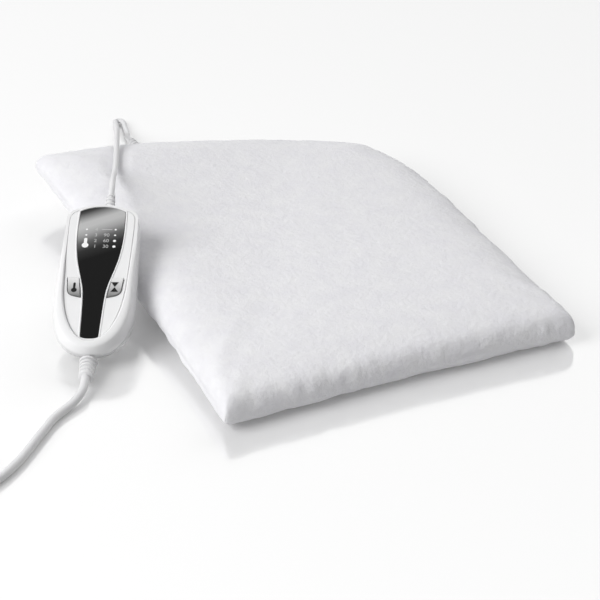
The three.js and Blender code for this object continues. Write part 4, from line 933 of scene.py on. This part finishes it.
plate_satin = finish_of("plate_satin", (0.81, 0.81, 0.815), (0.78, 0.78, 0.785), 1600, (0.34, 0.44), 0.00002)
finish(face_plate(), plate_satin, "pale_grey", "face_plate")
finish(bezel(), case_gloss, "white_gloss")


# Dark panel
# A glossy black window with a small chamfer, with a painted reflection in its colour: a silver fade towards its head.
# It lies in the face plate's opening and covers the indicator lights.
PANEL_UNDER, PANEL_TOP = 9.7, 12.15
# Painted reflection: the slant, span and grey stops of a silver fade painted into the panel's colour.
PAINTED_REFLECTION_SLANT = 0.47
PAINTED_REFLECTION_SPAN = (22, 76)
PAINTED_REFLECTION_STOPS = [(0, 0.008), (0.2, 0.028), (0.37, 0.12), (0.52, 0.33), (0.66, 0.47), (0.76, 0.47), (0.91, 0.16),
              (0.96, 0.07), (1, 0.035)]


def up_controller(nodes, link, axis, span, height):
    """A node that runs from 0 to 1 along an axis in object coordinates, between two places on the controller's
    middle line at a height."""
    low, high = controller_points([(0, y, height) for y in span]) @ axis * MM
    place = add_node(nodes, "TexCoord")
    along = add_node(nodes, "VectorMath", {1: axis}, operation="DOT_PRODUCT")
    share = add_node(nodes, "MapRange", {"From Min": low, "From Max": high})
    wire(link, (place, "Object", along, 0), (along, "Value", share, "Value"))
    return share


def panel_finish():
    """Black gloss with a painted reflection in its base colour: a ramp of greys along a slanting line up the panel.
    """
    material, nodes, link, shader = new_material("panel_gloss")
    painted_reflection_axis = CONTROLLER_TURN[1] - PAINTED_REFLECTION_SLANT * CONTROLLER_TURN[0]
    share = up_controller(nodes, link, painted_reflection_axis, PAINTED_REFLECTION_SPAN, PANEL_TOP)
    # Painted reflection: greys in the base colour that stand in for the gloss on the panel.
    painted_reflection = ramp(nodes, [(position, (level,) * 3) for position, level in PAINTED_REFLECTION_STOPS])
    wire(link, (share, "Result", painted_reflection, "Fac"), (painted_reflection, "Color", shader, "Base Color"))
    set_inputs(shader, {"Roughness": 0.14, "Specular IOR Level": 0.06})
    return material


glass = chamfered("panel_glass", panel_outline, PANEL_UNDER, PANEL_TOP, sharp=30)
finish(glass, panel_finish(), "black_gloss", "display_panel")


# Marks on the panel
# Plain marks in white and pale grey: a thermometer beside its steps, the numbers of the heat steps and of the
# minutes, and the round windows of the lights.
MARK_LIFT = 0.02
MARK_THICKNESS = 0.04
LIGHT_X, LIGHT_FIRST, LIGHT_PITCH = 11.2, 50, 6
WINDOW_RADII = (0.8, 0.8, 1.2, 1.2)
HEAT_X, MINUTES_X, NUMBER_SIZE = -3.6, 4.6, 4.6
LINE_ENDS, LINE_HALF_WIDTH = (0.5, 8.6), 0.3
ARC_STEPS = 28


def flat_mark(name, outline):
    """A thin plate of an outline, laid on the panel."""
    low = PANEL_TOP + MARK_LIFT
    return slab(name, outline, low, low + MARK_THICKNESS)


def thermometer(x, foot, head, stem, bulb, head_steps=12):
    """Outline of a thermometer: an arc round the bulb, two straight sides and a half circle over the head."""
    opening = math.asin(stem / bulb)
    low = np.linspace(np.pi / 2 + opening, 2.5 * np.pi - opening, ARC_STEPS)
    return np.vstack([arc(x, foot, bulb, low), arc(x, head, stem, np.linspace(0, np.pi, head_steps))])


def number(name, text, x, y):
    """Digits as a thin mesh on the panel, centred on a place."""
    curve = bpy.data.curves.new(name, "FONT")
    curve.body = text
    curve.size = NUMBER_SIZE
    curve.align_x, curve.align_y = "CENTER", "CENTER"
    curve.extrude = MARK_THICKNESS / 2
    carrier = placed(name, curve)
    mesh = bpy.data.meshes.new_from_object(carrier.evaluated_get(bpy.context.evaluated_depsgraph_get()))
    bpy.data.objects.remove(carrier)
    local = np.empty(len(mesh.vertices) * 3)
    mesh.vertices.foreach_get("co", local)
    local = local.reshape(-1, 3) + (x, y, PANEL_TOP + MARK_LIFT + MARK_THICKNESS / 2)
    mesh.vertices.foreach_set("co", (controller_points(local) * MM).ravel())
    mesh.update()
    return placed(name, mesh)


mark_white = finish_of("mark_white", (0.9, 0.9, 0.9), (0.84, 0.84, 0.84), 3000, (0.4, 0.5), 0.000005)
mark_grey = finish_of("mark_grey", (0.5, 0.5, 0.5), (0.46, 0.46, 0.46), 3000, (0.4, 0.5), 0.000005)
marks = [flat_mark("mark_thermometer", thermometer(-LIGHT_X, foot=33.2, head=39.6, stem=1.25, bulb=2.6))]
pale_marks = []
round_window = full_turn(ARC_STEPS)
for k, radius in enumerate(WINDOW_RADII):
    y = LIGHT_FIRST - k * LIGHT_PITCH
    marks.append(flat_mark(f"mark_timer_window_{k + 1}", arc(LIGHT_X, y, radius, round_window)))
    if k < 2:
        marks.append(flat_mark(f"mark_heat_window_{k + 1}", arc(-LIGHT_X, y, radius, round_window)))
    pale_marks.append(number(f"mark_heat_step_{k + 1}", str(4 - k), HEAT_X, y))
    if k:
        pale_marks.append(number(f"mark_minutes_{k}", str(120 - 30 * k), MINUTES_X, y))
near, far = LINE_ENDS
low, high = LIGHT_FIRST - LINE_HALF_WIDTH, LIGHT_FIRST + LINE_HALF_WIDTH
dash = np.array([(near, low), (far, low), (far, high), (near, high)])
pale_marks.append(flat_mark("mark_steady_line", dash))
for group, material in ((marks, mark_white), (pale_marks, mark_grey)):
    for mark in group:
        finish(mark, material, "light_lens")


# Buttons
# Two satin silver push buttons in the face plate, rounded on top and with a flange inside that stops them. Each
# has a dark sign on its cap: a thermometer for heat and an hourglass for time.
BUTTON_TOP = 13.2
BUTTON_MIDDLE, DISH_DEPTH, DISH_HALF = 15.8, 0.25, 5
CAP_ROUNDING, CAP_STEPS, CAP_INSET, CAP_RINGS = 1.1, 4, 0.1, (0.7, 0.45, 0.2)
FLANGE_TOP, FLANGE_UNDER = 6.9, 5.7
FLANGE_MARGIN = 1.2
SIGN_LIFT = 0.08
# Painted shade on the buttons: the span along the controller and the range of the darkening.
PAINTED_SHADE_SPAN, PAINTED_SHADE_RANGE = (-19, -3), (0.3, 1)
HOURGLASS_HALF = np.array([(-2.9, 0), (2.9, 0), (0, 4.8)])
HOURGLASS_X, HOURGLASS_FOOT, HOURGLASS_HEAD = 15.3, -15.8, -6


def button_top(x, side):
    """Height of a button's cap: a shallow dish along its middle."""
    return BUTTON_TOP - DISH_DEPTH + DISH_DEPTH * ((x - side * BUTTON_MIDDLE) / DISH_HALF) ** 2


def button_cap(name, side):
    """Rings from the flange up the cap's sides, over a rounded edge and in to the dished top."""
    plain, flange = button_outline(side, 0), button_outline(side, FLANGE_MARGIN)
    middle = plain.mean(0)
    outlines = [flange, flange, plain, plain]
    heights = [FLANGE_UNDER, FLANGE_TOP, FLANGE_TOP, BUTTON_TOP - CAP_ROUNDING]
    turns = np.arange(1, CAP_STEPS + 1) / CAP_STEPS * np.pi / 2
    levels = [(1 - CAP_INSET * (1 - math.cos(turn)), CAP_ROUNDING * (1 - math.sin(turn))) for turn in turns]
    levels += [(share * (1 - CAP_INSET), 0) for share in CAP_RINGS]
    for share, below in levels:
        inset = middle + (plain - middle) * share
        outlines.append(inset)
        heights.append(np.minimum(BUTTON_TOP - below, button_top(inset[:, 0], side)))
    return skin(name, at_heights(outlines, heights), sharp=40)


def button_sign(name, outline, side):
    """A thin dark plate of an outline, laid on a button's cap."""
    low = button_top(outline[:, 0], side) + SIGN_LIFT
    return slab(name, outline, low, low + MARK_THICKNESS)


def silver_finish():
    """Silver with painted shade: darker towards the controller's foot by a ramp along the controller, with fine
    flakes.
    """
    material = finish_of("button_silver", (0.8, 0.8, 0.8), (0.74, 0.74, 0.74), 2600, (0.24, 0.38), 0.00002,
                         {"Metallic": 0.25})
    nodes, link = material.node_tree.nodes, material.node_tree.links.new
    shader = nodes["Principled BSDF"]
    varied = shader.inputs["Base Color"].links[0].from_node
    # Painted shade: the silver is multiplied darker towards the controller's foot.
    share = up_controller(nodes, link, CONTROLLER_TURN[1], PAINTED_SHADE_SPAN, BUTTON_TOP)
    set_inputs(share, {"To Min": PAINTED_SHADE_RANGE[0], "To Max": PAINTED_SHADE_RANGE[1]})
    shade = add_node(nodes, "Mix", {"Factor": 1}, data_type="RGBA", blend_type="MULTIPLY")
    wire(link, (varied, "Color", shade, "A"), (share, "Result", shade, "B"),
         (shade, "Result", shader, "Base Color"))
    return material


button_silver = silver_finish()
sign_dark = finish_of("sign_dark", (0.012, 0.012, 0.012), (0.02, 0.02, 0.02), 2400, (0.5, 0.6), 0.00001,
                      {"Specular IOR Level": 0.1})
for name, side in SIDES.items():
    button = f"{name}_button"
    finish(button_cap(f"{name}_cap", side), button_silver, "silver_grey", button, body=button)
signs = {
    "temperature_sign": ("temperature", thermometer(-15.5, foot=-14.4, head=-7.6, stem=0.9, bulb=2.2)),
    "timer_sign_foot": ("timer", HOURGLASS_HALF + (HOURGLASS_X, HOURGLASS_FOOT)),
    "timer_sign_head": ("timer", HOURGLASS_HALF[::-1] * (1, -1) + (HOURGLASS_X, HOURGLASS_HEAD)),
}
for name, (button, outline) in signs.items():
    finish(button_sign(name, outline, SIDES[button]), sign_dark, "dark_plastic", body=f"{button}_button")


# Inner pieces
# The CAD's own solids inside the pad and the controller keep their shapes: wadding, felt and heating wire, and the
# board with its parts, screws and conductors.
INNER_FINISHES = {
    "wadding": finish_of("wadding_fibre", (0.86, 0.86, 0.84), (0.8, 0.8, 0.78), 400, (0.9, 1), 0.0005),
    "carrier_felt": finish_of("carrier_felt", (0.74, 0.71, 0.62), (0.66, 0.63, 0.55), 900, (0.9, 1), 0.0003),
    "wire_sleeve": finish_of("wire_sleeve", (0.66, 0.54, 0.34), (0.6, 0.48, 0.3), 1800, (0.5, 0.65), 0.00005),
    "white_soft": lead_jacket,
    "board_green": finish_of("board_green", (0.03, 0.14, 0.055), (0.02, 0.1, 0.04), 500, (0.35, 0.5), 0.00003),
    "dark_plastic": finish_of("dark_moulding", (0.025, 0.025, 0.027), (0.035, 0.035, 0.037), 1200, (0.5, 0.65),
                              0.00003),
    "light_lens": finish_of("light_lens", (0.82, 0.8, 0.7), (0.76, 0.74, 0.64), 800, (0.15, 0.3), 0.00001),
    "silver_grey": button_silver,
    "terminal_grey": finish_of("grey_moulding", (0.28, 0.29, 0.3), (0.24, 0.25, 0.26), 1000, (0.5, 0.6), 0.00003),
    "steel": finish_of("screw_steel", (0.5, 0.51, 0.53), (0.42, 0.43, 0.45), 2500, (0.25, 0.4), 0.00003,
                       {"Metallic": 1.0}),
}
for subpart in frame["record"]["subparts"]:
    node = frame["nodes"][subpart["node"]]
    if subpart["material_slot"] in INNER_FINISHES and not node.hide_render:
        coat(node, INNER_FINISHES[subpart["material_slot"]])


# Floor and light
# A pale floor with a soft mirror and a white surround that is weaker as a light than it looks. One large soft lamp
# stands on the left, and a wide weak sun comes from the back right.
FLOOR_HALF, FLOOR_DROP = 6, 0.0004
FLOOR_GREY, FLOOR_ROUGHNESS, FLOOR_IOR, FLOOR_GLOW = 0.72, 0.13, 5, 0.12
SURROUND_AS_LIGHT, SURROUND_SEEN = 0.26, 1.0
KEY_SIZE, KEY_POWER, KEY_PLACE = 2.4, 132, (-2.9, -0.3, 2.25)
SUN_ANGLE, SUN_STRENGTH, SUN_PLACE = math.radians(40), 1.2, (0.9, 0.7, 0.75)


def floor_finish():
    """Pale floor with a soft mirror: it adds a little of its own light where the camera sees it."""
    material, nodes, link, shader = new_material("studio_floor")
    set_inputs(shader, {"Base Color": (FLOOR_GREY, FLOOR_GREY, FLOOR_GREY, 1), "Roughness": FLOOR_ROUGHNESS,
                        "IOR": FLOOR_IOR})
    path, glow, total = (add_node(nodes, kind) for kind in ("LightPath", "Emission", "AddShader"))
    strength = add_node(nodes, "Math", {1: FLOOR_GLOW}, operation="MULTIPLY")
    wire(link, (path, "Is Camera Ray", strength, 0), (strength, "Value", glow, "Strength"),
         (shader, "BSDF", total, 0), (glow, "Emission", total, 1),
         (total, "Shader", nodes["Material Output"], "Surface"))
    return material


def surround():
    """A white world: at full strength for the camera and in reflections, and weaker as a light on the pieces."""
    world = bpy.data.worlds.new("studio")
    world.use_nodes = True
    nodes, link = world.node_tree.nodes, world.node_tree.links.new
    background = nodes["Background"]
    set_inputs(background, {"Color": (1, 1, 1, 1)})
    path = add_node(nodes, "LightPath")
    seen = add_node(nodes, "Math", operation="MAXIMUM")
    strength = add_node(nodes, "MapRange", {"To Min": SURROUND_AS_LIGHT, "To Max": SURROUND_SEEN})
    wire(link, (path, "Is Camera Ray", seen, 0), (path, "Is Glossy Ray", seen, 1),
         (seen, "Value", strength, "Value"), (strength, "Result", background, "Strength"))
    return world


corners = np.array([(-1, -1, 0), (1, -1, 0), (1, 1, 0), (-1, 1, 0)]) * FLOOR_HALF - (0, 0, FLOOR_DROP)
floor = make_piece("studio_floor", corners, [(0, 1, 2, 3)])
coat(floor, floor_finish())
floor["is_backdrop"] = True
scene.world = surround()
key = bpy.data.lights.new("key_lamp", "AREA")
key.size, key.energy = KEY_SIZE, KEY_POWER
sun = bpy.data.lights.new("back_sun", "SUN")
sun.angle, sun.energy = SUN_ANGLE, SUN_STRENGTH
for light, place in ((key, KEY_PLACE), (sun, SUN_PLACE)):
    aimed(light.name, light, place).visible_glossy = False


low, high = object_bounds()
